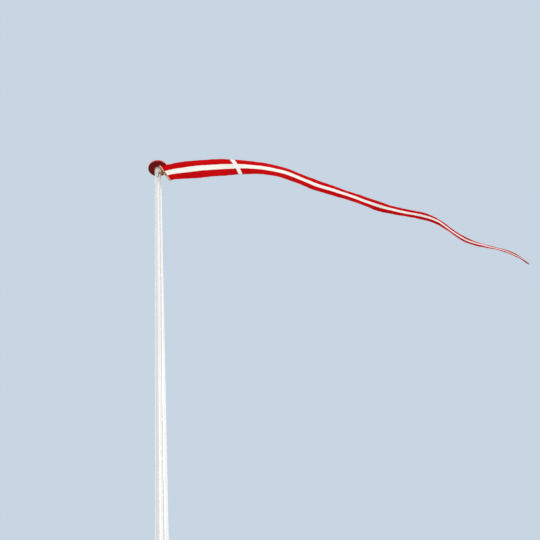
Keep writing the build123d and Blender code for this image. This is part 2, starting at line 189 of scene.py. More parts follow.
def weld(mesh: bpy.types.Mesh, reach: float = 1e-7) -> None:
    """Merge points that fall together, such as the poles of a turned shape.

    Args:
        mesh: The mesh.
        reach: Greatest distance between points that are merged.
    """
    work = bmesh.new()
    work.from_mesh(mesh)
    bmesh.ops.remove_doubles(work, verts=work.verts, dist=reach)
    work.to_mesh(mesh)
    work.free()


def unit(vectors: Array) -> Array:
    """Vectors of length one in the same directions."""
    return vectors / np.linalg.norm(vectors, axis=-1, keepdims=True)


def full_turn(sides: int) -> Array:
    """Angles of points spread evenly round a circle, the first one not repeated."""
    return np.linspace(0.0, TURN, sides, endpoint=False)


def circle(centre: Array, angle: Array, first: Array, second: Array) -> Array:
    """Points of a circle or an arc: centre + cos(angle) first + sin(angle) second."""
    return centre + np.outer(np.cos(angle), first) + np.outer(np.sin(angle), second)


def revolved(reach: Array, height: Array, sides: int) -> Array:
    """Points (r cos a, r sin a, z) of rows turned about the Z axis.

    Args:
        reach: Radius of each row, as an array (rows, 1) or (rows, sides).
        height: Height of each row.
        sides: Points round the axis.

    Returns:
        Array (rows, sides, 3).
    """
    angle = full_turn(sides)
    level = np.repeat(height[:, None], sides, axis=1)
    return np.stack([reach * np.cos(angle), reach * np.sin(angle), level], axis=-1)


def along_and_round(lengths: Array, sides: int) -> Array:
    """UV grid of a closed section: metres along and turns from 0 to 1 round, its seam on both sides."""
    return np.stack(np.meshgrid(lengths, np.linspace(0.0, 1.0, sides + 1), indexing="ij"), axis=-1)


def arc_lengths(path: Array) -> Array:
    """Distance from the start of a path to each of its points."""
    return np.concatenate([[0.0], np.cumsum(np.linalg.norm(np.diff(path, axis=0), axis=1))])


def resampled(path: Array, step: float) -> Array:
    """Divide a path evenly, by linear interpolation over its length.

    Args:
        path: Array (rows, 3).
        step: Wanted distance from point to point.

    Returns:
        The same path with points about one step apart.
    """
    lengths = arc_lengths(path)
    places = np.linspace(0.0, lengths[-1], max(2, round(lengths[-1] / step)) + 1)
    return np.stack([np.interp(places, lengths, path[:, axis]) for axis in range(3)], axis=1)


def tube(name: str, path: Array, radius: Array | float, reference: Array, sides: int = 12,
         ring: bool = False) -> Piece:
    """Carry a round section along a path.

    Point (i, a) = path(i) + radius(i, a) * (cos a * normal(i) + sin a * binormal(i)), where the
    normal is the part of the reference direction square to the path's tangent, and the binormal
    is tangent x normal.

    Args:
        name: Name of the piece.
        path: Array (rows, 3).
        radius: One radius, or an array (rows, sides).
        reference: A direction, or one for each row, never along the path.
        sides: Points round the section.
        ring: The path closes on itself and its last point isn't repeated.

    Returns:
        The piece, with UV in metres along the path and turns round it.
    """
    if ring:
        tangent = unit(np.roll(path, -1, axis=0) - np.roll(path, 1, axis=0))
    else:
        tangent = unit(np.gradient(path, axis=0))
    reference = np.broadcast_to(reference, path.shape)
    normal = unit(reference - tangent * np.sum(reference * tangent, axis=1, keepdims=True))
    binormal = np.cross(tangent, normal)
    angle = full_turn(sides)[None, :, None]
    radius = np.broadcast_to(radius, (len(path), sides))[..., None]
    points = path[:, None] + radius * (np.cos(angle) * normal[:, None] + np.sin(angle) * binormal[:, None])
    lengths = arc_lengths(np.concatenate([path, path[:1]]) if ring else path)
    closed = Closed.RING if ring else Closed.ROUND
    return surface(name, points, {"along": along_and_round(lengths, sides)}, closed, capped=not ring)


def turned(name: str, outline: list[tuple[float, float]], place: Matrix, sides: int = 32) -> Piece:
    """Turn an outline about its own Z axis.

    Point (i, a) = (r(i) cos a, r(i) sin a, z(i)), then moved to its place.

    Args:
        name: Name of the piece.
        outline: Radius and height of each point, from the lower pole or rim to the upper one.
        place: Where the shape's own frame lies.
        sides: Points round the axis.

    Returns:
        The piece, with UV in metres of height and turns.
    """
    reach, height = np.array(outline).T
    points = placed(revolved(reach[:, None], height, sides), place)
    return surface(name, points, {"along": along_and_round(height, sides)}, Closed.ROUND)


def dome(radius: float, height: float, sunk: float, steps: int,
         foot: float = 1.0) -> list[tuple[float, float]]:
    """Outline of a domed head, r = R cos t and z = H sin t, over a skirt that stands in what it sits on.

    Args:
        radius: Radius of the head.
        height: Height of the head.
        sunk: Depth of the skirt.
        steps: Points of the dome.
        foot: Radius of the skirt's foot, in radii of the head.

    Returns:
        Radius and height of each point, from the skirt's foot to the pole.
    """
    rise = np.linspace(0.0, QUARTER, steps)
    return [(foot * radius, -sunk), *zip(radius * np.cos(rise), height * np.sin(rise))]


def placed(points: Array, place: Matrix) -> Array:
    """Points of a shape's own frame, moved to its place."""
    matrix = np.array(place)
    return points @ matrix[:3, :3].T + matrix[:3, 3]


def looking(origin: tuple[float, float, float], axis: tuple[float, float, float]) -> Matrix:
    """A place whose own Z axis points along an axis."""
    return Matrix.Translation(origin) @ Vector(axis).to_track_quat("Z", "Y").to_matrix().to_4x4()


def smooth_step(value: Array | float) -> Array:
    """0 below 0, 1 above 1, and 3t^2 - 2t^3 between them."""
    t = np.clip(value, 0.0, 1.0)
    return t * t * (3 - 2 * t)


def eased(start: Array, leaving: Array, end: Array, arriving: Array, count: int) -> Array:
    """Cubic between two points with the given tangents (Hermite's formula).

    Args:
        start: First point.
        leaving: Tangent at the first point.
        end: Last point.
        arriving: Tangent at the last point.
        count: Number of points.

    Returns:
        Array (count, 3).
    """
    t = np.linspace(0.0, 1.0, count)[:, None]
    return ((2 * t**3 - 3 * t**2 + 1) * start + (t**3 - 2 * t**2 + t) * leaving
            + (3 * t**2 - 2 * t**3) * end + (t**3 - t**2) * arriving)


@dataclass(frozen=True)
class LaidLine:
    """Three-strand rope or cord.

    Attributes:
        diameter: Over the strands.
        lay: Length of one full turn of a strand, in diameters.
        steps: Rows of points in each turn.
        sides: Points round the section.
        core: Least radius in the valleys, in diameters.
    """

    diameter: float
    lay: float = 3.8
    steps: int = 7
    sides: int = 12
    core: float = 0.3

    def strand_radii(self, distance: Array) -> Array:
        """Radius of the laid section for each row and angle.

        Three touching strands of radius s lie d = s / sin 60 from the middle. At an angle p from
        the nearest strand the outline is d cos p + sqrt(s^2 - d^2 sin^2 p), and the strands turn
        by 360 degrees in each lay.

        Args:
            distance: Distance of each row along the line.

        Returns:
            Array (rows, sides) in metres.
        """
        strand = self.diameter / 2 / (1 + 1 / math.sin(math.pi / 3))
        offset = strand / math.sin(math.pi / 3)
        third = TURN / 3
        turn = full_turn(self.sides)[None] - TURN * distance[:, None] / (self.lay * self.diameter)
        nearest = (turn + third / 2) % third - third / 2
        aside = offset * np.sin(nearest)
        outline = offset * np.cos(nearest) + np.sqrt(np.maximum(strand**2 - aside**2, 0))
        return np.maximum(outline, self.core * self.diameter)

    def along(self, name: str, path: Array, reference: Array) -> Piece:
        """Lay the line along a path.

        Args:
            name: Name of the piece.
            path: Array (rows, 3), at any spacing.
            reference: Direction that is never along the path.

        Returns:
            The piece.
        """
        path = resampled(path, self.lay * self.diameter / self.steps)
        return tube(name, path, self.strand_radii(arc_lengths(path)), reference, self.sides)


# Shader graphs


@dataclass
class Graph:
    """Short calls that add and link the nodes of one tree."""

    tree: bpy.types.NodeTree

    def add(self, kind: str, feeds: dict[str | int, Value] | None = None,
            **settings: object) -> bpy.types.Node:
        """Add a node.

        Args:
            kind: Blender's name for the node.
            feeds: A link or a constant for each input.
            settings: Properties of the node.

        Returns:
            The node.
        """
        node = self.tree.nodes.new(kind)
        for key, value in settings.items():
            setattr(node, key, value)
        for key, value in (feeds or {}).items():
            self.feed(node.inputs[key], value)
        return node

    def feed(self, socket: Socket, value: Value) -> None:
        """Link an input to a socket, or set its constant.

        Args:
            socket: The input.
            value: The output that feeds it, or the constant.
        """
        if isinstance(value, bpy.types.NodeSocket):
            self.tree.links.new(value, socket)
        else:
            socket.default_value = value

    def step(self, step: Step, a: Value, b: Value = 0.0) -> Socket:
        """One Math node."""
        return self.add("ShaderNodeMath", {0: a, 1: b}, operation=step.value).outputs[0]

    def plus(self, a: Value, b: Value) -> Socket:
        """The sum of two values."""
        return self.step(Step.ADD, a, b)

    def minus(self, a: Value, b: Value) -> Socket:
        """The first value less the second."""
        return self.step(Step.SUBTRACT, a, b)

    def times(self, value: Value, *factors: Value) -> Socket:
        """A value multiplied by each factor in turn.

        Args:
            value: The value.
            factors: The factors.

        Returns:
            The product.
        """
        for factor in factors:
            value = self.step(Step.MULTIPLY, value, factor)
        return value

    def over(self, a: Value, b: Value) -> Socket:
        """The first value divided by the second."""
        return self.step(Step.DIVIDE, a, b)

    def size_of(self, value: Value) -> Socket:
        """A value without its sign."""
        return self.step(Step.ABSOLUTE, value)

    def apart(self, a: Value, b: Value) -> Socket:
        """How far two values are from each other."""
        return self.size_of(self.minus(a, b))

    def noise(self, vector: Socket, scale: Value, detail: float = 4.0, rough: float = 0.55) -> Socket:
        """Noise from 0 to 1 at a scale in waves per metre."""
        feeds = {"Vector": vector, "Scale": scale, "Detail": detail, "Roughness": rough}
        return self.add("ShaderNodeTexNoise", feeds).outputs["Fac"]

    def cells(self, vector: Socket, scale: Value, output: str = "Distance") -> Socket:
        """Voronoi cells: the distance to the nearest point, or the cell's colour."""
        return self.add("ShaderNodeTexVoronoi", {"Vector": vector, "Scale": scale}).outputs[output]

    def remap(self, value: Socket, low: Value, high: Value, to_low: Value = 0.0,
              to_high: Value = 1.0) -> Socket:
        """Map a range onto another, held at its ends."""
        feeds = {"Value": value, "From Min": low, "From Max": high, "To Min": to_low, "To Max": to_high}
        return self.add("ShaderNodeMapRange", feeds, interpolation_type="SMOOTHSTEP").outputs["Result"]

    def fade(self, value: Socket, full: Value, clear: Value) -> Socket:
        """1 up to the first value and 0 from the second."""
        return self.remap(value, full, clear, 1.0, 0.0)

    def between(self, mask: Socket, bare: Value, covered: Value) -> Socket:
        """The first value where a mask is 0 and the second where it is 1."""
        return self.remap(mask, 0.0, 1.0, bare, covered)

    def blend(self, share: Value, first: Value, second: Value) -> Socket:
        """Mix two colours.

        Args:
            share: 0 for the first colour, 1 for the second.
            first: The first colour.
            second: The second colour.

        Returns:
            The mixed colour.
        """
        node = self.add("ShaderNodeMix", {0: share}, data_type="RGBA")
        self.feed(node.inputs[6], first)
        self.feed(node.inputs[7], second)
        return node.outputs[2]

    def stretched(self, vector: Socket, scale: tuple[float, float, float]) -> Socket:
        """Coordinates stretched along the axes."""
        return self.add("ShaderNodeMapping", {"Vector": vector, "Scale": scale}).outputs[0]

    def jittered(self, vector: Socket, scale: float, reach: float) -> Socket:
        """Coordinates pushed about by a colour noise, which breaks up straight and round outlines.

        Args:
            vector: Coordinates in metres.
            scale: Waves per metre of the noise.
            reach: How far a point may be pushed, in metres.

        Returns:
            The pushed coordinates.
        """
        noise = self.add("ShaderNodeTexNoise", {"Vector": vector, "Scale": scale, "Detail": 1.0})
        feeds = {0: noise.outputs["Color"], "Scale": reach}
        shift = self.add("ShaderNodeVectorMath", feeds, operation="SCALE").outputs[0]
        return self.add("ShaderNodeVectorMath", {0: vector, 1: shift}, operation="ADD").outputs[0]

    def split(self, vector: Socket) -> tuple[Socket, Socket, Socket]:
        """X, Y and Z of a vector."""
        node = self.add("ShaderNodeSeparateXYZ", {0: vector})
        return node.outputs[0], node.outputs[1], node.outputs[2]

    def place(self) -> Socket:
        """Object coordinates."""
        return self.add("ShaderNodeTexCoord").outputs["Object"]

    def uv(self, layer: str) -> Socket:
        """Coordinates of one UV layer."""
        return self.add("ShaderNodeUVMap", uv_map=layer).outputs[0]

    def effect(self, group: bpy.types.NodeTree, **feeds: Value) -> bpy.types.Node:
        """Place a shared effect with its own values."""
        return self.add("ShaderNodeGroup", feeds, node_tree=group)

    def seen(self) -> Socket:
        """Tell the rays that show things from the rays that light them.

        Returns:
            1 for rays of the camera, of gloss and through glass, and 0 for the others.
        """
        rays = self.add("ShaderNodeLightPath").outputs
        gloss = self.step(Step.HIGHEST, rays["Is Camera Ray"], rays["Is Glossy Ray"])
        return self.step(Step.HIGHEST, gloss, rays["Is Transmission Ray"])


KINDS = {"Vector": Kind.VECTOR, "Colour": Kind.COLOUR, "Tint": Kind.COLOUR, "Dirt": Kind.COLOUR,
         "Dark": Kind.COLOUR, "Bright": Kind.COLOUR}


def new_effect(name: str, fill: Callable[[Graph, Sockets], Sockets], inputs: str,
               outputs: str) -> bpy.types.NodeTree:
    """Build a shader node group once.

    Args:
        name: Name of the group.
        fill: Adds the nodes and returns what feeds each output.
        inputs: Names of the inputs; one that KINDS doesn't have is a number.
        outputs: Names of the outputs, in the same way.

    Returns:
        The group's tree.
    """
    tree = bpy.data.node_groups.new(name, "ShaderNodeTree")
    for way, labels in (("INPUT", inputs), ("OUTPUT", outputs)):
        for label in labels.split():
            kind = KINDS.get(label, Kind.NUMBER)
            tree.interface.new_socket(name=label, in_out=way, socket_type=kind.value)
    graph = Graph(tree)
    entry = graph.add("NodeGroupInput")
    leaving = graph.add("NodeGroupOutput")
    results = fill(graph, {label: entry.outputs[label] for label in inputs.split()})
    for label, socket in results.items():
        graph.feed(leaving.inputs[label], socket)
    return tree


def mottle_nodes(graph: Graph, take: Sockets) -> Sockets:
    """Cloudy change from one colour to another: two noises, one ten times finer, averaged.

    Args:
        graph: The group's tree.
        take: The group's inputs by name.

    Returns:
        The mixed colour, and the share of the tint in it as a mask.
    """
    broad = graph.noise(take["Vector"], take["Scale"])
    fine = graph.noise(take["Vector"], graph.times(take["Scale"], 10.0))
    mean = graph.times(graph.plus(broad, fine), 0.5)
    mask = graph.times(graph.remap(mean, 0.38, 0.62), take["Amount"])
    return {"Colour": graph.blend(mask, take["Colour"], take["Tint"]), "Mask": mask}


def grime_nodes(graph: Graph, take: Sockets) -> Sockets:
    """Dirt between two heights, strongest at the first, broken up by noise stretched downwards.

    Args:
        graph: The group's tree.
        take: The group's inputs by name.

    Returns:
        The soiled colour, and the share of dirt in it as a mask.
    """
    fade = graph.fade(graph.split(take["Vector"])[2], take["Full"], take["Clear"])
    streak = graph.noise(graph.stretched(take["Vector"], (1.0, 1.0, 0.12)), take["Scale"])
    mask = graph.times(fade, graph.remap(streak, 0.3, 0.7), take["Amount"])
    return {"Colour": graph.blend(mask, take["Colour"], take["Dirt"]), "Mask": mask}


def spangle_nodes(graph: Graph, take: Sockets) -> Sockets:
    """Crystals of hot-dip zinc: cells of slightly different brightness, and their edges as height.

    Args:
        graph: The group's tree.
        take: The group's inputs by name.

    Returns:
        The cells' colour, their brightness as a mask, and the height.
    """
    cell = graph.cells(take["Vector"], take["Scale"], "Color")
    tone = graph.between(graph.split(cell)[0], 0.0, 1.0)
    colour = graph.blend(tone, take["Dark"], take["Bright"])
    return {"Colour": colour, "Mask": tone, "Height": graph.cells(take["Vector"], take["Scale"])}


def weave_nodes(graph: Graph, take: Sockets) -> Sockets:
    """Plain weave on flat coordinates in metres: |sin u| and |sin v| threads, each on top in turn.

    Args:
        graph: The group's tree.
        take: The group's inputs by name.

    Returns:
        The height of the threads, from 0 to 1.
    """
    along, across, _ = graph.split(take["Vector"])
    wave_u, wave_v = (graph.step(Step.SINE, graph.times(way, graph.over(math.pi, take["Thread"])))
                      for way in (along, across))
    above = graph.step(Step.MORE, graph.times(wave_u, wave_v), 0.0)
    below = graph.minus(1.0, above)
    height = graph.plus(graph.times(above, graph.size_of(wave_u)), graph.times(below, graph.size_of(wave_v)))
    return {"Height": height}


def stitch_nodes(graph: Graph, take: Sockets) -> Sockets:
    """A row of stitches: near the line where the distance equals the offset, on for 70% of each pitch.

    Args:
        graph: The group's tree.
        take: The group's inputs by name.

    Returns:
        Where thread shows as a mask, and the groove that the row is sunk in.
    """
    off_line = graph.apart(take["Distance"], take["Offset"])
    on_line = graph.fade(off_line, graph.times(take["Width"], 0.35), take["Width"])
    beat = graph.step(Step.FRACTION, graph.over(take["Along"], take["Pitch"]))
    dash = graph.times(graph.remap(beat, 0.0, 0.15), graph.fade(beat, 0.55, 0.7))
    return {"Mask": graph.times(on_line, dash), "Groove": on_line}


def fibre_nodes(graph: Graph, take: Sockets) -> Sockets:
    """Fibres of a laid strand: 22 fine sine ridges that climb round the line, broken up by noise.

    Args:
        graph: The group's tree.
        take: The group's inputs by name.

    Returns:
        The height of the fibres, and the noise as a mask.
    """
    along, turns, _ = graph.split(take["Vector"])
    climb = graph.plus(graph.over(along, take["Pitch"]), graph.times(turns, 22.0))
    ridge = graph.step(Step.SINE, graph.times(climb, TURN))
    fuzz = graph.noise(take["Vector"], 900.0, 2.0)
    return {"Height": graph.plus(graph.remap(ridge, -1.0, 1.0), fuzz), "Mask": fuzz}


class Effects:
    """Node groups shared by the finishes, each built once."""

    MOTTLE = new_effect("mottle", mottle_nodes, "Vector Scale Colour Tint Amount", "Colour Mask")
    GRIME = new_effect("grime", grime_nodes, "Vector Scale Colour Dirt Full Clear Amount", "Colour Mask")
    SPANGLE = new_effect("spangle", spangle_nodes, "Vector Scale Dark Bright", "Colour Mask Height")
    WEAVE = new_effect("weave", weave_nodes, "Vector Thread", "Height")
    STITCH = new_effect("stitch", stitch_nodes, "Distance Along Offset Width Pitch", "Mask Groove")
    FIBRE = new_effect("fibre", fibre_nodes, "Vector Pitch", "Height Mask")


def clouded(graph: Graph, here: Socket, scale: float, tone: Value, tint: Value,
            amount: float = 1.0) -> tuple[Socket, Socket]:
    """Place the mottle effect.

    Args:
        graph: The material's tree.
        here: Coordinates in metres.
        scale: Clouds per metre.
        tone: The colour between the clouds.
        tint: The colour in them.
        amount: How much of the tint shows.

    Returns:
        The colour and the mask.
    """
    node = graph.effect(Effects.MOTTLE, Vector=here, Scale=scale, Colour=tone, Tint=tint, Amount=amount)
    return node.outputs["Colour"], node.outputs["Mask"]


def colour(red: float, green: float, blue: float) -> Colour:
    """A colour given as it looks on a screen, 0 to 255, turned into the linear values of a shader.

    Args:
        red: Screen red.
        green: Screen green.
        blue: Screen blue.

    Returns:
        Linear red, green, blue and alpha, by the sRGB curve.
    """
    share = np.array([red, green, blue]) / 255
    linear = np.where(share <= 0.04045, share / 12.92, ((share + 0.055) / 1.055) ** 2.4)
    return (*(float(part) for part in linear), 1.0)


@dataclass(frozen=True)
class Finish:
    """A named finish; a sub-class adds the nodes that feed the shader.

    In every finish a scale is in waves or cells per metre, and an amount is a share of one. A
    roughness is the shader's value at both ends of what it follows, a range is where a noise
    begins to count and counts fully, and edges are distances at which something is full and gone.

    Attributes:
        name: Name of the material.
        slot: The record's slot that it belongs to. Not used.
        depth: Depth of the relief in metres.
    """

    name: str
    slot: Slot
    depth: float = 0.2 * MM

    def constants(self) -> dict[str, Value]:
        """Values set on the shader's own sockets."""
        return {}

    def paint(self, graph: Graph) -> Sockets:
        """Add the nodes for what changes over the surface.

        Args:
            graph: The material's tree.

        Returns:
            What feeds each of the shader's sockets, and the relief under "Height".
        """
        raise NotImplementedError

    @cache
    def material(self) -> bpy.types.Material:
        """The finish as a material, built at its first use.

        Returns:
            The material.
        """
        made = bpy.data.materials.new(self.name)
        made.use_nodes = True
        graph = Graph(made.node_tree)
        shader = made.node_tree.nodes["Principled BSDF"]
        for key, value in self.constants().items():
            shader.inputs[key].default_value = value
        links = self.paint(graph)
        feeds = {"Height": links.pop("Height"), "Distance": self.depth, "Strength": 1.0}
        links["Normal"] = graph.add("ShaderNodeBump", feeds).outputs[0]
        for key, socket in links.items():
            graph.feed(shader.inputs[key], socket)
        return made

    def dress(self, piece: Piece) -> Piece:
        """Give a piece this finish.

        Args:
            piece: The piece.

        Returns:
            The same piece.
        """
        piece.data.materials.clear()
        piece.data.materials.append(self.material())
        return piece


@dataclass(frozen=True)
class Gelcoat(Finish):
    """Glossy gelcoat or lacquer, faintly cloudy, dusty towards one end."""

    tone: Colour = colour(241, 241, 239)
    tint: Colour = colour(237, 238, 236)
    dirt: Colour = colour(176, 170, 154)
    dirt_full: float = -0.2
    dirt_clear: float = 0.9
    dirt_amount: float = 0.35
    dirt_scale: float = 28.0
    cloud_scale: float = 3.0
    peel_scale: float = 160.0
    coat: float = 0.4
    gloss: float = 0.4
    roughness: tuple[float, float] = (0.18, 0.6)
    depth: float = 0.05 * MM

    def constants(self) -> dict[str, Value]:
        """Hard clear coat over a satin base."""
        return {"Coat Weight": self.coat, "Coat Roughness": 0.05, "Specular IOR Level": self.gloss}

    def paint(self, graph: Graph) -> Sockets:
        """Clouded colour with dirt at one end, orange-peel relief, and a roughness that follows the dirt.

        Args:
            graph: The material's tree.

        Returns:
            What feeds the shader.
        """
        here = graph.place()
        cloudy, _ = clouded(graph, here, self.cloud_scale, self.tone, self.tint)
        soiled = graph.effect(Effects.GRIME, Vector=here, Scale=self.dirt_scale, Colour=cloudy,
                              Dirt=self.dirt, Full=self.dirt_full, Clear=self.dirt_clear,
                              Amount=self.dirt_amount)
        return {
            "Base Color": soiled.outputs["Colour"],
            "Roughness": graph.between(soiled.outputs["Mask"], *self.roughness),
            "Height": graph.noise(here, self.peel_scale, 2.0),
        }


@dataclass(frozen=True)
class KnobLacquer(Gelcoat):
    """The knob's red gelcoat: polished outside, dull below with painted shade there, with a mould line and a
    grey nib.
    """

    axis: tuple[float, float] = (0.0, 0.0)
    under_height: float = 0.0
    under_blend: float = 3 * MM
    # darker red of the painted shade under the knob
    under_shade_tone: Colour = colour(150, 4, 6)
    under_rough: float = 0.5
    line_height: float = 0.0
    line_edges: tuple[float, float] = (0.2 * MM, 0.7 * MM)
    line_rise: float = 4.0
    nib_height: float = 0.0
    nib_radius: float = 3 * MM
    nib_tone: Colour = colour(150, 150, 150)

    def paint(self, graph: Graph) -> Sockets:
        """The gelcoat's nodes, dull below and darker there as painted shade, with a grey nib and a raised
        mould line.

        Args:
            graph: The material's tree.

        Returns:
            What feeds the shader.
        """
        links = super().paint(graph)
        x, y, z = graph.split(graph.place())
        # mask of the underside: it dulls the coat and carries the painted shade
        under = graph.fade(z, self.under_height, self.under_height + self.under_blend)
        # painted shade under the knob: the underside's colour is blended to a darker red
        links["Base Color"] = graph.blend(under, links["Base Color"], self.under_shade_tone)
        links["Coat Weight"] = graph.between(under, self.coat, 0.0)
        dulled = graph.times(under, self.under_rough)
        links["Roughness"] = graph.step(Step.HIGHEST, links["Roughness"], dulled)
        dx, dy = graph.minus(x, self.axis[0]), graph.minus(y, self.axis[1])
        square = graph.plus(graph.times(dx, dx), graph.times(dy, dy))
        near = graph.step(Step.LESS, square, self.nib_radius**2)
        nib = graph.times(near, graph.step(Step.MORE, z, self.nib_height))
        links["Base Color"] = graph.blend(nib, links["Base Color"], self.nib_tone)
        line = graph.times(graph.fade(graph.apart(z, self.line_height), *self.line_edges), self.line_rise)
        links["Height"] = graph.plus(links["Height"], line)
        return links


@dataclass(frozen=True)
class Concrete(Finish):
    """Cast concrete with exposed sand and small stones, air pores and moss at the ground."""

    paste: Colour = colour(184, 172, 163)
    paste_tint: Colour = colour(160, 150, 143)
    paste_scale: float = 9.0
    jag_scale: float = 700.0
    jag_reach: float = 2.4 * MM
    # colour of the dark stones, also the colour of the painted shade in the pores
    stone_dark_and_pore_shade: Colour = colour(112, 104, 100)
    stone_light: Colour = colour(214, 198, 186)
    stone_scale: float = 210.0
    stone_amount: float = 0.6
    stone_rise: float = 0.3
    bare_share: float = 0.5
    stone_radii: tuple[float, float] = (0.18, 0.5)
    stone_rim: float = 0.7
    sand_scale: float = 1400.0
    sand_amount: float = 0.45
    sand_rise: float = 0.35
    sand_range: tuple[float, float] = (0.35, 0.7)
    pore_scale: float = 75.0
    # share of painted shade in the pores
    pore_shade_amount: float = 0.75
    pore_depth: float = 1.2
    pore_radius: float = 0.14
    pore_rim: float = 0.6
    moss: Colour = colour(92, 96, 72)
    moss_scale: float = 45.0
    moss_amount: float = 0.8
    moss_full: float = -0.05
    moss_clear: float = 0.22
    roughness: tuple[float, float] = (0.8, 0.98)
    depth: float = 0.9 * MM

    def paint(self, graph: Graph) -> Sockets:
        """Clouded paste, a stone in some of the cells, sand, pores that are sunk with painted shade in them,
        and moss low down.

        Args:
            graph: The material's tree.

        Returns:
            What feeds the shader.
        """
        here = graph.place()
        paste, _ = clouded(graph, here, self.paste_scale, self.paste, self.paste_tint)
        jagged = graph.jittered(here, self.jag_scale, self.jag_reach)
        pick, tone, reach = graph.split(graph.cells(jagged, self.stone_scale, "Color"))
        rim = graph.between(reach, *self.stone_radii)
        body = graph.fade(graph.cells(jagged, self.stone_scale), graph.times(rim, self.stone_rim), rim)
        shown = graph.times(graph.step(Step.MORE, pick, self.bare_share), body)
        stone = graph.blend(tone, self.stone_dark_and_pore_shade, self.stone_light)
        speckled = graph.blend(graph.times(shown, self.stone_amount), paste, stone)
        sand = graph.noise(here, self.sand_scale, 2.0)
        sandy = graph.remap(sand, *self.sand_range, 0.0, self.sand_amount)
        sanded = graph.blend(sandy, speckled, self.stone_light)
        size = graph.times(graph.split(graph.cells(jagged, self.pore_scale, "Color"))[0], self.pore_radius)
        pore = graph.fade(graph.cells(jagged, self.pore_scale), graph.times(size, self.pore_rim), size)
        # painted shade in the air pores: they are blended towards the dark stone colour
        pore_shaded = graph.blend(graph.times(pore, self.pore_shade_amount), sanded, self.stone_dark_and_pore_shade)
        mossy = graph.effect(Effects.GRIME, Vector=here, Scale=self.moss_scale, Colour=pore_shaded, Dirt=self.moss,
                             Full=self.moss_full, Clear=self.moss_clear, Amount=self.moss_amount)
        rise = graph.plus(graph.times(shown, self.stone_rise), graph.times(sand, self.sand_rise))
        return {
            "Base Color": mossy.outputs["Colour"],
            "Roughness": graph.between(sand, *self.roughness),
            "Height": graph.minus(rise, graph.times(pore, self.pore_depth)),
        }


@dataclass(frozen=True)
class Galvanised(Finish):
    """Hot-dip zinc on bent strip: crystals, dull white bloom and polished top and bottom edges."""

    dark: Colour = colour(164, 168, 171)
    bright: Colour = colour(198, 201, 204)
    spangle_scale: float = 130.0
    bloom: Colour = colour(214, 214, 210)
    bloom_scale: float = 30.0
    bloom_amount: float = 0.55
    levels: tuple[float, ...] = ()
    half_height: float = 25 * MM
    worn: Colour = colour(222, 224, 226)
    wear_scale: float = 90.0
    wear_amount: float = 0.6
    wear_edges: tuple[float, float] = (0.2 * MM, 1.6 * MM)
    wear_range: tuple[float, float] = (0.35, 0.6)
    wear_polish: float = 0.5
    roughness: tuple[float, float] = (0.22, 0.52)
    depth: float = 0.12 * MM

    def constants(self) -> dict[str, Value]:
        """Weathered zinc is not a full mirror."""
        return {"Metallic": 0.85}

    def paint(self, graph: Graph) -> Sockets:
        """Spangle under bloom, brighter and smoother where a strip's edge has been rubbed.

        Args:
            graph: The material's tree.

        Returns:
            What feeds the shader.
        """
        here = graph.place()
        zinc = graph.effect(Effects.SPANGLE, Vector=here, Scale=self.spangle_scale, Dark=self.dark,
                            Bright=self.bright)
        dull, bloomed = clouded(graph, here, self.bloom_scale, zinc.outputs["Colour"], self.bloom,
                                self.bloom_amount)
        z = graph.split(here)[2]
        edge: Value = 1.0
        for level in self.levels:
            edge = graph.step(Step.LOWEST, edge, graph.apart(graph.apart(z, level), self.half_height))
        rubbed = graph.remap(edge, *self.wear_edges, self.wear_amount, 0.0)
        worn = graph.times(rubbed, graph.remap(graph.noise(here, self.wear_scale), *self.wear_range))
        dullness = graph.plus(bloomed, graph.times(worn, -self.wear_polish))
        return {
            "Base Color": graph.blend(worn, dull, self.worn),
            "Roughness": graph.remap(dullness, -0.4, 0.6, *self.roughness),
            "Height": zinc.outputs["Height"],
        }


@dataclass(frozen=True)
class Plated(Finish):
    """Turned or forged fasteners with a thin bright plating, dull in patches and rusty in specks."""

    tone: Colour = colour(186, 186, 180)
    tint: Colour = colour(160, 158, 148)
    cloud_scale: float = 120.0
    rust: Colour = colour(128, 84, 52)
    rust_amount: float = 0.7
    speck_scale: float = 420.0
    speck_range: tuple[float, float] = (0.62, 0.7)
    patch_scale: float = 60.0
    patch_range: tuple[float, float] = (0.5, 0.62)
    marks_scale: float = 90.0
    marks_along: float = 30.0
    roughness: tuple[float, float] = (0.28, 0.6)
    depth: float = 0.05 * MM

    def constants(self) -> dict[str, Value]:
        """Plain metal."""
        return {"Metallic": 0.9}

    def paint(self, graph: Graph) -> Sockets:
        """Clouded plating, turning marks along X, and specks of rust where two noises are both high.

        Args:
            graph: The material's tree.

        Returns:
            What feeds the shader.
        """
        here = graph.place()
        base, dull = clouded(graph, here, self.cloud_scale, self.tone, self.tint)
        speck = graph.remap(graph.noise(here, self.speck_scale, 3.0), *self.speck_range)
        patch = graph.remap(graph.noise(here, self.patch_scale, 2.0), *self.patch_range)
        rusty = graph.times(speck, patch, self.rust_amount)
        return {
            "Base Color": graph.blend(rusty, base, self.rust),
            "Roughness": graph.remap(graph.plus(dull, rusty), 0.0, 1.2, *self.roughness),
            "Height": graph.noise(graph.stretched(here, (self.marks_along, 1.0, 1.0)), self.marks_scale, 2.0),
        }


@dataclass(frozen=True)
class CastMetal(Finish):
    """Sand-cast bronze, brass or aluminium with a dull skin and a fine grain."""

    tone: Colour = colour(176, 132, 84)
    skin: Colour = colour(112, 80, 52)
    skin_scale: float = 55.0
    skin_amount: float = 0.7
    grain_scale: float = 900.0
    grain_dulling: float = 0.3
    roughness: tuple[float, float] = (0.25, 0.6)
    depth: float = 0.16 * MM

    def constants(self) -> dict[str, Value]:
        """Plain metal."""
        return {"Metallic": 0.95}

    def paint(self, graph: Graph) -> Sockets:
        """Metal that shows through its skin in clouds, with the grain of the mould.

        Args:
            graph: The material's tree.

        Returns:
            What feeds the shader.
        """
        here = graph.place()
        base, skin = clouded(graph, here, self.skin_scale, self.tone, self.skin, self.skin_amount)
        grain = graph.noise(here, self.grain_scale, 3.0)
        dullness = graph.plus(skin, graph.times(grain, self.grain_dulling))
        return {"Base Color": base, "Roughness": graph.between(dullness, *self.roughness), "Height": grain}


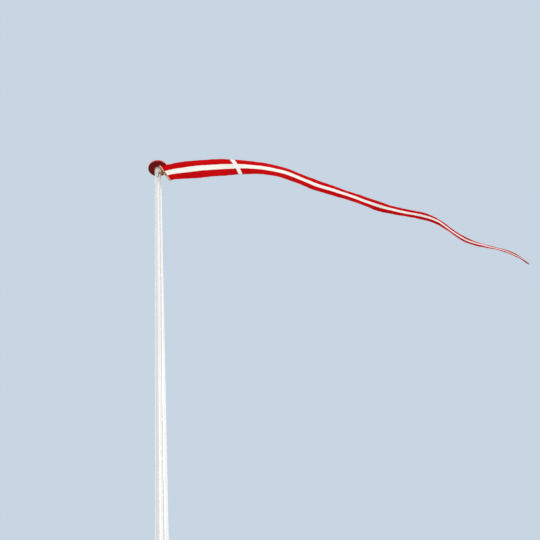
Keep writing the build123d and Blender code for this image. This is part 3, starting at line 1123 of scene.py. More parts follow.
@dataclass(frozen=True)
class PaintedCasting(CastMetal):
    """A casting painted white with the pole, chipped down to the metal here and there."""

    paint_tone: Colour = colour(226, 227, 223)
    paint_tint: Colour = colour(212, 212, 206)
    paint_scale: float = 40.0
    paint_rise: float = 1.5
    grain_rise: float = 0.4
    coarse_scale: float = 48.0
    coarse_range: tuple[float, float] = (0.55, 0.66)
    fine_scale: float = 330.0
    fine_range: tuple[float, float] = (0.55, 0.6)
    chip_metallic: float = 0.9
    roughness: tuple[float, float] = (0.3, 0.55)

    def constants(self) -> dict[str, Value]:
        """Gloss paint."""
        return {"Specular IOR Level": 0.4}

    def paint(self, graph: Graph) -> Sockets:
        """Paint in clouds over the cast metal, which shows where a coarse and a fine noise are both high.

        Args:
            graph: The material's tree.

        Returns:
            What feeds the shader.
        """
        metal = super().paint(graph)
        here = graph.place()
        coarse = graph.remap(graph.noise(here, self.coarse_scale, 2.0), *self.coarse_range)
        fine = graph.remap(graph.noise(here, self.fine_scale, 3.0), *self.fine_range)
        chip = graph.times(coarse, fine)
        coat, dull = clouded(graph, here, self.paint_scale, self.paint_tone, self.paint_tint)
        lift = graph.times(graph.minus(1.0, chip), self.paint_rise)
        return {
            "Base Color": graph.blend(chip, coat, metal["Base Color"]),
            "Roughness": graph.remap(graph.plus(dull, chip), 0.0, 2.0, *self.roughness),
            "Metallic": graph.times(chip, self.chip_metallic),
            "Height": graph.plus(graph.times(metal["Height"], self.grain_rise), lift),
        }


@dataclass(frozen=True)
class MouldedPlastic(Finish):
    """Off-white moulded plastic with faint flow clouds and a satin skin."""

    tone: Colour = colour(236, 234, 227)
    tint: Colour = colour(229, 226, 218)
    cloud_scale: float = 22.0
    skin_scale: float = 2600.0
    roughness: tuple[float, float] = (0.42, 0.55)
    depth: float = 0.04 * MM

    def paint(self, graph: Graph) -> Sockets:
        """Flow clouds, and a fine spark-eroded skin.

        Args:
            graph: The material's tree.

        Returns:
            What feeds the shader.
        """
        here = graph.place()
        base, cloud = clouded(graph, here, self.cloud_scale, self.tone, self.tint)
        skin = graph.noise(here, self.skin_scale, 1.0)
        return {"Base Color": base, "Roughness": graph.between(cloud, *self.roughness), "Height": skin}


@dataclass(frozen=True)
class Timber(Finish):
    """Round softwood stick: grain along its axis, darker late wood and oiled patches."""

    early: Colour = colour(230, 186, 150)
    late: Colour = colour(200, 146, 106)
    oiled: Colour = colour(178, 122, 84)
    oil_scale: float = 35.0
    oil_amount: float = 0.4
    tilt: float = 0.0
    grain_scale: float = 420.0
    grain_length: float = 0.03
    line_range: tuple[float, float] = (0.46, 0.6)
    roughness: tuple[float, float] = (0.62, 0.48)

    def paint(self, graph: Graph) -> Sockets:
        """Noise drawn out thirty times along the stick, sharpened into late-wood lines.

        Args:
            graph: The material's tree.

        Returns:
            What feeds the shader.
        """
        feeds = {"Vector": graph.place(), "Rotation": (0.0, self.tilt, 0.0)}
        upright = graph.add("ShaderNodeMapping", feeds).outputs[0]
        grain = graph.noise(graph.stretched(upright, (1.0, 1.0, self.grain_length)), self.grain_scale, 5.0)
        line = graph.remap(grain, *self.line_range)
        wood = graph.blend(line, self.early, self.late)
        aged, _ = clouded(graph, upright, self.oil_scale, wood, self.oiled, self.oil_amount)
        return {"Base Color": aged, "Roughness": graph.between(line, *self.roughness), "Height": grain}


@dataclass(frozen=True)
class Fibre(Finish):
    """Laid rope, cord or twine: fibres that climb round each strand, and painted shade in the valleys between
    strands.
    """

    tone: Colour = colour(238, 236, 230)
    tint: Colour = colour(229, 226, 217)
    cloud_scale: float = 60.0
    # colour of the painted shade in the valleys between strands
    valley_shade: Colour = colour(188, 182, 168)
    valley_shade_amount: float = 0.75
    valley_shade_width: float = 0.28
    diameter: float = 6 * MM
    lay: float = 3.8
    strands: float = 3.0
    fibre_pitch: float = 0.5
    roughness: tuple[float, float] = (0.7, 0.95)
    depth: float = 0.25 * MM

    def constants(self) -> dict[str, Value]:
        """A little sheen from loose fibres."""
        return {"Sheen Weight": 0.25, "Sheen Roughness": 0.5}

    def paint(self, graph: Graph) -> Sockets:
        """Clouded fibres with painted shade in the valleys; a valley lies where 3 (turns - distance / lay)
        passes a half.

        Args:
            graph: The material's tree.

        Returns:
            What feeds the shader.
        """
        flat = graph.uv("along")
        along, turns, _ = graph.split(flat)
        phase = graph.minus(turns, graph.over(along, self.diameter * self.lay))
        beat = graph.step(Step.FRACTION, graph.times(phase, self.strands))
        # painted shade in the valleys between the strands
        valley_shade = graph.remap(graph.apart(beat, 0.5), 0.0, self.valley_shade_width, self.valley_shade_amount, 0.0)
        base, _ = clouded(graph, graph.place(), self.cloud_scale, self.tone, self.tint)
        fibre = graph.effect(Effects.FIBRE, Vector=flat, Pitch=self.diameter * self.fibre_pitch)
        return {
            "Base Color": graph.blend(valley_shade, base, self.valley_shade),
            "Roughness": graph.remap(fibre.outputs["Mask"], 0.2, 0.8, *self.roughness),
            "Height": fibre.outputs["Height"],
        }


StitchRow = tuple[Socket, Socket, float, Value]


@dataclass(frozen=True)
class Bunting(Finish):
    """Woven polyester in two colours: a lengthwise stripe and a cross bar, hemmed and stitched.

    The layer "flat" holds metres along and across the cloth, and "panel" holds the share of the
    half width and the half width in metres.
    """

    ground: Colour = colour(192, 0, 6)
    ground_tint: Colour = colour(183, 0, 4)
    ground_scale: float = 6.0
    ground_thread: Colour = colour(150, 0, 6)
    band: Colour = colour(238, 237, 231)
    band_tint: Colour = colour(234, 233, 227)
    band_scale: float = 8.0
    band_thread: Colour = colour(206, 204, 198)
    stripe_share: float = 0.29
    bar_place: float = 0.785
    bar_width: float = 0.043
    hem: float = 9 * MM
    hem_shade: float = 0.16
    thread: float = 0.7 * MM
    thread_amount: float = 0.8
    thread_rise: float = 0.25
    stitch_pitch: float = 3.2 * MM
    stitch_width: float = 0.55 * MM
    stitch_rise: float = 0.9
    hem_rows: tuple[float, float] = (0.85, 0.2)
    seam_row: float = 1.6 * MM
    hoist_rows: tuple[float, float] = (4 * MM, 12 * MM)
    seam_width: float = 0.5 * MM
    seam_amount: float = 0.5
    groove_depth: float = 0.6
    pucker_scale: tuple[float, float] = (90.0, 18.0)
    pucker_rises: tuple[float, float] = (1.4, 0.2)
    roughness: tuple[float, float] = (0.82, 0.68)
    depth: float = 0.5 * MM

    def constants(self) -> dict[str, Value]:
        """Dull threads with a faint sheen."""
        return {"Sheen Weight": 0.01, "Sheen Roughness": 0.4, "Specular IOR Level": 0.02}

    def stitched(self, graph: Graph, rows: tuple[StitchRow, ...]) -> tuple[Socket, Socket]:
        """Lay rows of stitches over each other.

        Args:
            graph: The material's tree.
            rows: Distance from a line, distance along it, the row's offset from it, and where it runs.

        Returns:
            The highest of the rows' threads, and the highest of their grooves.
        """
        sewn, sunk = 0.0, 0.0
        for distance, run, offset, where in rows:
            row = graph.effect(Effects.STITCH, Distance=distance, Along=run, Offset=offset,
                               Width=self.stitch_width, Pitch=self.stitch_pitch)
            sewn = graph.step(Step.HIGHEST, sewn, graph.times(row.outputs["Mask"], where))
            sunk = graph.step(Step.HIGHEST, sunk, graph.times(row.outputs["Groove"], where))
        return sewn, sunk

    def paint(self, graph: Graph) -> Sockets:
        """Colours by panel, painted shade where the hems lie double, two rows of stitches at each seam and
        hem, and the weave.

        Args:
            graph: The material's tree.

        Returns:
            What feeds the shader.
        """
        flat = graph.uv("flat")
        along, across, _ = graph.split(flat)
        share, half, _ = graph.split(graph.uv("panel"))
        side = graph.size_of(share)
        off_bar = graph.apart(along, self.bar_place)
        stripe = graph.step(Step.LESS, side, self.stripe_share)
        bar = graph.step(Step.LESS, off_bar, self.bar_width / 2)
        white = graph.step(Step.HIGHEST, stripe, bar)
        here = graph.place()
        red_cloth, _ = clouded(graph, here, self.ground_scale, self.ground, self.ground_tint)
        white_cloth, _ = clouded(graph, here, self.band_scale, self.band, self.band_tint)
        to_edge = graph.times(graph.minus(1.0, side), half)
        to_stripe = graph.size_of(graph.times(graph.minus(side, self.stripe_share), half))
        to_bar = graph.apart(off_bar, self.bar_width / 2)
        sewn, sunk = self.stitched(graph, (
            *((to_edge, along, self.hem * row, 1.0) for row in self.hem_rows),
            (to_stripe, along, self.seam_row, graph.minus(1.0, bar)),
            (to_bar, across, self.seam_row, graph.minus(1.0, stripe)),
            *((along, across, row, 1.0) for row in self.hoist_rows),
        ))
        to_seam = graph.step(Step.LOWEST, to_stripe, to_bar)
        seam = graph.remap(to_seam, 0.0, self.seam_width, self.seam_amount, 0.0)
        # painted shade along the hems, where the cloth lies double: blended towards the dark red thread
        # colour
        hem_double_shade = graph.remap(to_edge, self.hem * 0.95, self.hem, self.hem_shade, 0.0)
        shaded = graph.blend(hem_double_shade, graph.blend(white, red_cloth, white_cloth), self.ground_thread)
        thread = graph.blend(graph.minus(1.0, white), self.band_thread, self.ground_thread)
        weave = graph.effect(Effects.WEAVE, Vector=flat, Thread=self.thread).outputs["Height"]
        pucker = graph.noise(graph.stretched(flat, (*self.pucker_scale, 1.0)), 1.0, 2.0)
        threads = graph.plus(graph.times(weave, self.thread_rise), graph.times(sewn, self.stitch_rise))
        grooved = graph.minus(threads, graph.times(graph.plus(sunk, seam), self.groove_depth))
        puckered = graph.times(pucker, graph.remap(to_edge, 0.0, 2 * self.hem, *self.pucker_rises))
        return {
            "Base Color": graph.blend(graph.times(sewn, self.thread_amount), shaded, thread),
            "Roughness": graph.between(weave, *self.roughness),
            "Height": graph.plus(grooved, puckered),
        }


# Sub-assemblies


def middle(node: str) -> Array:
    """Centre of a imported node's box."""
    low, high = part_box(node)
    return (np.array(low) + np.array(high)) / 2


def keep(node: str, finish: Finish) -> Piece:
    """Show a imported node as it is, with a finish."""
    return finish.dress(CAD[node])


def ride(piece: Piece, body: Body, *replaced: str) -> Piece:
    """Let a piece move with a body, and stand for the nodes that it replaces.

    Args:
        piece: The piece.
        body: The body that it moves with.
        replaced: Nodes that it stands for.

    Returns:
        The same piece.
    """
    if replaced:
        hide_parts(*replaced)
    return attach(piece, body.value)


PLATED = Plated("zinc_plated_fastener", Slot.ZINC)
BRONZE = CastMetal("bronze_casting", Slot.BRONZE)
PAINTED = PaintedCasting("painted_bronze", Slot.BRONZE)
BRASS = CastMetal("brass_forging", Slot.BRASS, tone=colour(196, 150, 76), skin=colour(122, 84, 40),
                  skin_amount=0.75, roughness=(0.22, 0.5))
CAST_ALUMINIUM = CastMetal("cast_aluminium", Slot.CLEAT, tone=colour(188, 190, 192),
                           skin=colour(150, 152, 154), skin_amount=0.5, roughness=(0.3, 0.6))
ROPE = Fibre("halyard_rope", Slot.ROPE)
# the cord's and the twine's valley colours are painted shade between their strands
CORD = Fibre("becket_cord", Slot.ROPE, tone=colour(190, 140, 78), tint=colour(166, 116, 58),
             valley_shade=colour(104, 70, 34), diameter=4 * MM)
TWINE = Fibre("seizing_twine", Slot.ROPE, tone=colour(170, 122, 66), tint=colour(146, 100, 50),
              valley_shade=colour(84, 54, 28), diameter=2.4 * MM)


@dataclass
class Mast:
    """The conical pole with its knob and the slotted sleeve that carries the knob."""

    wall: float = 2.6 * MM
    top_radius: float = 28.5 * MM
    edge: float = 0.8 * MM
    plain_end: float = 20 * MM
    rings: int = 28
    sides: int = 96
    lip: float = 11.5 * MM
    nib: float = 2.5 * MM

    def pole(self) -> Piece:
        """Open conical tube.

        Its section is a closed loop: up the outside, in over the rounded top edge, down the
        inside and out under the rounded foot, each rounding a quarter circle in four steps. Each
        point of the loop is turned about the pole's axis.

        Returns:
            The tube.
        """
        low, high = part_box("pole_tube")
        x, y, _ = middle("pole_tube")
        foot, top = (high.x - low.x) / 2, self.top_radius
        quarter = np.linspace(0.0, QUARTER, 5)
        out, rise = self.edge * (1 - np.cos(quarter)), self.edge * np.sin(quarter)
        heights = np.linspace(low.z + self.plain_end, high.z - self.plain_end, self.rings)
        cone = foot + (top - foot) * (heights - low.z) / (high.z - low.z)
        reach = np.concatenate([(foot - out)[::-1], cone, top - out, top - self.wall + out[::-1],
                                cone[::-1] - self.wall, foot - self.wall + out])
        base, brim = low.z + self.edge, high.z - self.edge
        height = np.concatenate([base - rise[::-1], heights, brim + rise, brim + rise[::-1], heights[::-1],
                                 base - rise])
        points = revolved(reach[:, None], height, self.sides) + np.array([x, y, 0.0])
        lengths = arc_lengths(np.stack([reach, height], axis=1))
        uv = along_and_round(np.append(lengths, lengths[-1]), self.sides)
        return surface("pole_shaft", points, {"along": uv}, Closed.RING)

    def build(self) -> list[Piece]:
        """Dress the pole, the knob and the sleeve.

        Returns:
            The pieces.
        """
        low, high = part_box("knob")
        x, y, _ = middle("knob")
        gelcoat = Gelcoat("pole_gelcoat", Slot.GELCOAT)
        lacquer = KnobLacquer(
            "red_knob_gelcoat", Slot.KNOB, tone=colour(200, 8, 10), tint=colour(188, 4, 6), dirt_amount=0.0,
            cloud_scale=9.0, coat=0.35, gloss=0.2, axis=(x, y), under_height=low.z,
            line_height=low.z + self.lip, nib_height=high.z - self.nib)
        return [ride(gelcoat.dress(self.pole()), Body.POLE, "pole_tube"), keep("knob", lacquer),
                keep("knob_sleeve", MouldedPlastic("sleeve_plastic", Slot.SLEEVE))]


@dataclass
class Clamps:
    """Two strap clamps and their bolts, with rolled threads where a bolt stands out of its nut.

    A thread is given by its radius and its pitch.
    """

    levels: tuple[str, ...] = ("upper", "lower")
    places: tuple[str, ...] = ("front", "rear")
    post_thread: tuple[float, float] = (6 * MM, 1.75 * MM)
    clamp_thread: tuple[float, float] = (5 * MM, 1.5 * MM)
    clear: float = 0.05 * MM
    ridge: float = 0.45 * MM
    end: float = 1.3 * MM
    rows: int = 8
    sides: int = 24

    def thread(self, bolt: str, nut: str, size: tuple[float, float]) -> Piece:
        """Thread on the tail of a bolt that lies along +X.

        The radius is the shank's plus the ridge times a triangle wave of distance / pitch - turns,
        so its crest climbs one pitch in each turn.

        Args:
            bolt: The bolt's node.
            nut: The node of the nut that it stands out of.
            size: Radius and pitch.

        Returns:
            The thread.
        """
        radius, pitch = size
        start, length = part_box(nut)[1].x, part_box(bolt)[1].x - self.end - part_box(nut)[1].x
        distance = np.linspace(0.0, length, round(length / pitch * self.rows))
        origin = middle(nut) * (AXIS_Y + AXIS_Z) + start * AXIS_X
        wave = np.abs((distance[:, None] / pitch - np.arange(self.sides) / self.sides) % 1.0 * 2 - 1)
        runout = smooth_step(np.minimum(distance, distance[-1] - distance) / pitch)[:, None]
        radii = radius + self.clear + self.ridge * wave * runout
        piece = tube(f"{bolt}_thread", origin + np.outer(distance, AXIS_X), radii, AXIS_Z, self.sides)
        return ride(PLATED.dress(piece), Body.POLE)

    def build(self) -> list[Piece]:
        """Dress straps, saddles, bolts, nuts and washers, and add the threads.

        Returns:
            The pieces.
        """
        heights = tuple(middle(f"{level}_clamp_strap")[2] for level in self.levels)
        strip = Galvanised("galvanised_strip", Slot.GALVANISED, levels=heights)
        made = []
        for level in self.levels:
            made += [keep(f"{level}_clamp_{part}", strip) for part in ("strap", "saddle")]
            made += [keep(f"{level}_post_{part}", PLATED) for part in ("bolt", "washer", "nut")]
            made.append(self.thread(f"{level}_post_bolt", f"{level}_post_nut", self.post_thread))
            for place in self.places:
                bolt, nut = f"{level}_clamp_bolt_{place}", f"{level}_clamp_nut_{place}"
                made += [keep(bolt, PLATED), keep(nut, PLATED), self.thread(bolt, nut, self.clamp_thread)]
        return made


@dataclass
class Post:
    """The concrete post."""

    def build(self) -> list[Piece]:
        """Dress the post."""
        return [keep("concrete_post", Concrete("cast_concrete", Slot.CONCRETE))]


@dataclass
class Truck:
    """The halyard's bronze bracket and sheave on a zinc-plated pin, with rivets through the bracket's pad."""

    rivet_turn: float = math.radians(27)
    rivet_rise: float = 22 * MM
    head_radius: float = 3.6 * MM
    head_height: float = 1.9 * MM
    head_sunk: float = 0.6 * MM
    head_foot: float = 0.96

    def rivets(self) -> list[Piece]:
        """Domed heads, square to the round pad.

        Returns:
            The rivets.
        """
        x, _, z = middle("truck_bracket")
        pad = self.pad_radius()
        outline = dome(self.head_radius, self.head_height, self.head_sunk, 8, self.head_foot)
        made = []
        for k, (side, lift) in enumerate(CORNERS):
            angle = side * self.rivet_turn
            axis = (math.sin(angle), -math.cos(angle), 0.0)
            origin = (x + pad * axis[0], pad * axis[1], z + lift * self.rivet_rise)
            head = turned(f"truck_rivet_{k}", outline, looking(origin, axis), 24)
            made.append(ride(PAINTED.dress(head), Body.POLE))
        return made

    def pad_radius(self) -> float:
        """Outer radius of the pad.

        Returns:
            The greatest distance from the pole's axis of any point in the bracket's lowest millimetre.
        """
        points = np.array([v.co for v in CAD["truck_bracket"].data.vertices])
        lowest = points[points[:, 2] < points[:, 2].min() + 1 * MM]
        return float(np.hypot(lowest[:, 0] - middle("truck_bracket")[0], lowest[:, 1]).max())

    def build(self) -> list[Piece]:
        """Dress the bracket, sheave and pin, and add the rivets."""
        return [keep("truck_bracket", PAINTED), keep("truck_sheave", BRONZE), keep("truck_pin", PLATED),
                *self.rivets()]


@dataclass
class Cleat:
    """The cast cleat, with four button-head screws through its plate."""

    screw_side: float = 10.5 * MM
    screw_rise: float = 34 * MM
    plate: float = 0.25 * MM
    head_radius: float = 4.2 * MM
    head_height: float = 2.3 * MM
    head_sunk: float = 0.5 * MM
    key: float = 3.2 * MM
    key_floor: float = 0.6 * MM
    key_middle: float = 0.4 * MM
    sides: int = 36

    def screw(self, name: str, place: Matrix) -> Piece:
        """Button head with a hexagonal socket.

        Rows go up the side, over the dome r = R cos t, z = H sin t to the socket's rim, down its
        flat-sided wall and in to the middle of its floor. A flat-sided row's radius at angle a is
        the half width across flats over cos(a modulo 60 degrees - 30 degrees).

        Args:
            name: Name of the piece.
            place: Where the head sits; its own Z axis points out of the plate.

        Returns:
            The screw's head.
        """
        flat = self.key / 2 / np.cos(full_turn(self.sides) % (math.pi / 3) - math.pi / 6)
        rise = np.linspace(0.1, 1.15, 7)[:-1]
        rounds = self.head_radius * np.concatenate([[1.0], np.cos(rise)])
        reach = np.concatenate([np.outer(rounds, np.ones(self.sides)), [flat, flat, flat * 0.02]])
        height = np.concatenate([[-self.head_sunk], self.head_height * np.sin(rise),
                                 [self.head_height, self.key_floor, self.key_middle]])
        points = placed(revolved(reach, height, self.sides), place)
        uv = along_and_round(np.arange(len(height)) * MM, self.sides)
        return surface(name, points, {"along": uv}, Closed.ROUND, capped=True, crease=30.0)

    def build(self) -> list[Piece]:
        """Dress the cleat and add its screws.

        Returns:
            The pieces.
        """
        x, _, z = middle("cleat")
        plate_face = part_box("cleat_hitch")[1].y - self.plate
        made = [keep("cleat", CAST_ALUMINIUM)]
        for k, (side, lift) in enumerate(CORNERS):
            origin = (x + side * self.screw_side, plate_face, z + lift * self.screw_rise)
            head = self.screw(f"cleat_screw_{k}", looking(origin, (0.0, -1.0, 0.0)))
            made.append(ride(PLATED.dress(head), Body.POLE))
        return made


@dataclass
class Halyard:
    """The endless halyard: two falls over the sheave, made fast on the cleat, and a seizing.

    Under and over are the rope's distances from the pole's axis behind a horn and across the
    front, stacking is what each further crossing adds, and lead is the height above the cleat's
    middle where the falls begin to bend.
    """

    rope: LaidLine = LaidLine(6 * MM)
    twine: LaidLine = LaidLine(2.4 * MM, steps=5, sides=9)
    sheave_radius: float = 13 * MM
    turn_width: float = 15 * MM
    turn_reach: float = 43 * MM
    turn_growth: float = 8 * MM
    under: float = 87 * MM
    over: float = 100.5 * MM
    stacking: float = 4.6 * MM
    turns: int = 2
    lead: float = 84 * MM
    fall_pull: float = 60 * MM
    turn_pull: float = 40 * MM
    seizing_turns: int = 4
    over_points: int = 25
    lead_points: int = 24
    turn_points: int = 90
    twine_points: int = 36

    def bends(self, sheave: Array) -> tuple[Array, Array]:
        """Where the outer and the inner fall begin to bend towards the cleat.

        A fall is the straight line from its foot, on the top of the hitch's box and half a rope
        in from its side, to the side of the sheave's rope.

        Args:
            sheave: Centre of the sheave, or a point beside it in the plane of the falls.

        Returns:
            A point of the outer fall and one of the inner fall.
        """
        low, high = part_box("cleat_hitch")
        height = middle("cleat")[2] + self.lead
        half = self.rope.diameter / 2
        points = []
        for y, side in ((low.y + half, -1), (high.y - half, 1)):
            foot = np.array([middle("cleat_hitch")[0], y, high.z])
            top = sheave + side * self.sheave_radius * AXIS_Y
            points.append(foot + (height - foot[2]) / (top[2] - foot[2]) * (top - foot))
        return points[0], points[1]

    def falls(self) -> Piece:
        """Both falls and the half turn over the sheave, as one rope.

        Up the outer fall in a straight line, over a half circle about the sheave's centre, and
        down the inner fall.

        Returns:
            The rope.
        """
        centre = middle("truck_sheave")
        over = circle(centre, np.linspace(math.pi, 0.0, self.over_points), self.sheave_radius * AXIS_Y,
                      self.sheave_radius * AXIS_Z)
        outer, inner = self.bends(centre)
        piece = self.rope.along("halyard_falls", np.concatenate([outer[None], over, inner[None]]), AXIS_X)
        return ride(ROPE.dress(piece), Body.POLE, "halyard_outer_line", "halyard_inner_line",
                    "halyard_top_turn")

    def hitch(self) -> Piece:
        """Figure-of-eight turns on the cleat, from the outer fall to the inner one.

        With t the turning angle, x = W sin 2t, z = H cos t and the distance from the pole's axis
        goes from under to over with sin^2 t, so the rope passes behind a horn where cos t is 1 or
        -1 and crosses the front where it is 0. A cubic leads in from each fall.

        Returns:
            The rope.
        """
        x, _, z = middle("cleat")
        t = np.linspace(TURN / 8, TURN * self.turns - TURN / 8, self.turn_points * self.turns)
        reach = self.turn_reach + self.turn_growth * t / TURN
        crossing = self.over + self.stacking * (t - QUARTER) / math.pi
        away = self.under + (crossing - self.under) * np.sin(t) ** 2
        eight = np.stack([x + self.turn_width * np.sin(2 * t), -away, z + reach * np.cos(t)], axis=1)
        start, end = self.bends(np.array([x, *middle("truck_sheave")[1:]]))
        down = -self.fall_pull * AXIS_Z
        first = self.turn_pull * unit(eight[1] - eight[0])
        last = self.turn_pull * unit(eight[-1] - eight[-2])
        path = np.concatenate([eased(start, down, eight[0], first, self.lead_points)[:-1], eight,
                               eased(eight[-1], last, end, -down, self.lead_points)[1:]])
        return ride(ROPE.dress(self.rope.along("cleat_turns", path, AXIS_Y)), Body.POLE, "cleat_hitch")

    def seizing(self) -> Piece:
        """Twine round the fall under the hook's eye: a helix of the rope's radius plus half the twine.

        Returns:
            The twine.
        """
        t = np.linspace(0.0, TURN * self.seizing_turns, self.twine_points * self.seizing_turns)
        radius = (self.rope.diameter + self.twine.diameter) / 2
        rise = self.twine.diameter * (t / TURN - self.seizing_turns / 2)
        path = circle(middle("halyard_stop_knot"), t, radius * AXIS_X, radius * AXIS_Y)
        piece = self.twine.along("halyard_seizing", path + np.outer(rise, AXIS_Z), AXIS_Z)
        return ride(TWINE.dress(piece), Body.POLE, "halyard_stop_knot")

    def build(self) -> list[Piece]:
        """The falls, the turns on the cleat and the seizing."""
        return [self.falls(), self.hitch(), self.seizing()]


@dataclass
class Stick:
    """The pennant's stick with its hook and becket.

    The stick leans by its tilt, with its foot towards +X. The shank's outline is in radii of the
    shank and shares of its length, and the whippings lie at a distance from the hook's height.
    """

    tilt: float = math.radians(26.8)
    radius: float = 6.5 * MM
    eye_radius: float = 6.5 * MM
    ring_radius: float = 7.5 * MM
    wire: float = 2.5 * MM
    shank: float = 3.5 * MM
    shank_outline: tuple[tuple[float, float], ...] = (
        (0.0, 0.0), (1.0, 0.0), (1.0, 0.12), (1.45, 0.16), (1.45, 0.24), (1.0, 0.28), (0.85, 0.5),
        (1.0, 0.72), (1.45, 0.76), (1.45, 0.84), (1.0, 0.88), (1.0, 1.0), (0.0, 1.0))
    cord: LaidLine = LaidLine(4 * MM, steps=6, sides=9)
    slack: float = 0.8 * MM
    whipping_line: LaidLine = LaidLine(2.6 * MM, steps=5, sides=9)
    whipping: float = 19 * MM
    whipping_turns: int = 6
    turn_points: int = 40
    bend_points: int = 20
    ring_points: int = 48
    ring_sides: int = 16

    def centre(self) -> Array:
        """Middle of the stick's axis."""
        return middle("hoist_stick")

    def up(self) -> Array:
        """Direction of the stick's axis, from its foot to its top."""
        return np.array([-math.sin(self.tilt), 0.0, math.cos(self.tilt)])

    def out(self) -> Array:
        """Direction in which the cloth leaves the stick."""
        return np.array([math.cos(self.tilt), 0.0, math.sin(self.tilt)])

    def rise_to(self, height: float) -> float:
        """Distance along the stick from its middle to a height."""
        return (height - self.centre()[2]) / self.up()[2]

    def hook(self) -> list[Piece]:
        """Brass hook: two rings of wire, c + R (cos t a + sin t b), and a turned shank with two collars.

        Returns:
            The eye, the ring and the shank.
        """
        low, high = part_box("snap_hook")
        _, y, z = middle("snap_hook")
        halyard = np.array([low.x + self.eye_radius + self.wire, y, z])
        far = np.array([high.x - self.ring_radius - self.wire, y, z])
        turn = full_turn(self.ring_points)
        eye = circle(halyard, turn, self.eye_radius * AXIS_X, self.eye_radius * AXIS_Y)
        ring = circle(far, turn, self.ring_radius * AXIS_X, self.ring_radius * AXIS_Z)
        start, stop = halyard[0] + self.eye_radius, far[0] - self.ring_radius
        outline = [(self.shank * reach, (stop - start) * share) for reach, share in self.shank_outline]
        made = [
            tube("hook_eye", eye, self.wire, AXIS_Z, self.ring_sides, ring=True),
            tube("hook_ring", ring, self.wire, AXIS_Y, self.ring_sides, ring=True),
            turned("hook_shank", outline, looking((start, y, z), (1.0, 0.0, 0.0))),
        ]
        for piece in made:
            ride(BRASS.dress(piece), Body.RIG, "snap_hook")
        return made

    def becket(self, height: float) -> Piece:
        """Cord loop through the hook's ring and round the stick.

        The loop is an oval in plan, two half circles joined by straight sides. Its strands turn a
        whole number of times, so that they meet where it closes.

        Args:
            height: Height of the ring's centre.

        Returns:
            The loop.
        """
        y = middle("stick_becket")[1]
        radius = self.radius / math.cos(self.tilt) + self.slack + self.cord.diameter / 2
        ring_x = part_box("snap_hook")[1].x - self.ring_radius - self.wire
        stick_x = (self.centre() + self.rise_to(height) * self.up())[0]
        t = np.linspace(QUARTER, 3 * QUARTER, self.bend_points)
        near = circle(np.array([ring_x + radius, y, height]), t, radius * AXIS_X, radius * AXIS_Y)
        far = circle(np.array([stick_x, y, height]), t, -radius * AXIS_X, -radius * AXIS_Y)
        whole = self.cord.diameter * self.cord.lay
        loop = resampled(np.concatenate([near, far, near[:1]]), whole / self.cord.steps)
        lengths = arc_lengths(loop)
        fitted = lengths * round(lengths[-1] / whole) * whole / lengths[-1]
        radii = self.cord.strand_radii(fitted[:-1])
        piece = tube("becket_loop", loop[:-1], radii, AXIS_Z, self.cord.sides, ring=True)
        return ride(CORD.dress(piece), Body.RIG, "stick_becket")

    def whippings(self, height: float) -> list[Piece]:
        """A whipping above the becket and one below it, each a helix about the stick's axis.

        Args:
            height: Height of the ring's centre.

        Returns:
            The two whippings.
        """
        line = self.whipping_line
        t = np.linspace(0.0, TURN * self.whipping_turns, self.turn_points * self.whipping_turns)
        reach = self.radius + line.diameter / 2
        round_stick = circle(self.centre(), t, reach * self.out(), reach * AXIS_Y)
        climb = self.rise_to(height) + line.diameter * (t / TURN - self.whipping_turns / 2)
        made = []
        for name, side in (("upper", 1), ("lower", -1)):
            path = round_stick + np.outer(side * self.whipping + climb, self.up())
            piece = line.along(f"becket_whipping_{name}", path, self.up())
            made.append(ride(CORD.dress(piece), Body.RIG, "stick_becket"))
        return made

    def build(self) -> list[Piece]:
        """Dress the stick, and add the hook and the becket.

        Returns:
            The pieces.
        """
        stick = keep("hoist_stick", Timber("hoist_stick_wood", Slot.WOOD, tilt=self.tilt))
        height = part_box("snap_hook")[0].z + self.ring_radius + self.wire
        return [stick, *self.hook(), self.becket(height), *self.whippings(height)]


@dataclass(frozen=True)
class Wave:
    """A sine wave that runs slantwise over the cloth.

    Attributes:
        height: Height of its crests.
        length: Distance from crest to crest.
        slant: Turns that it gains for each unit square to that.
        start: Its phase, in radians.
    """

    height: float
    length: float
    slant: float
    start: float

    def offsets(self, along: Array, aside: Array) -> Array:
        """height sin(2 pi (along / length + slant aside) + start)."""
        return self.height * np.sin(TURN * (along / self.length + self.slant * aside) + self.start)


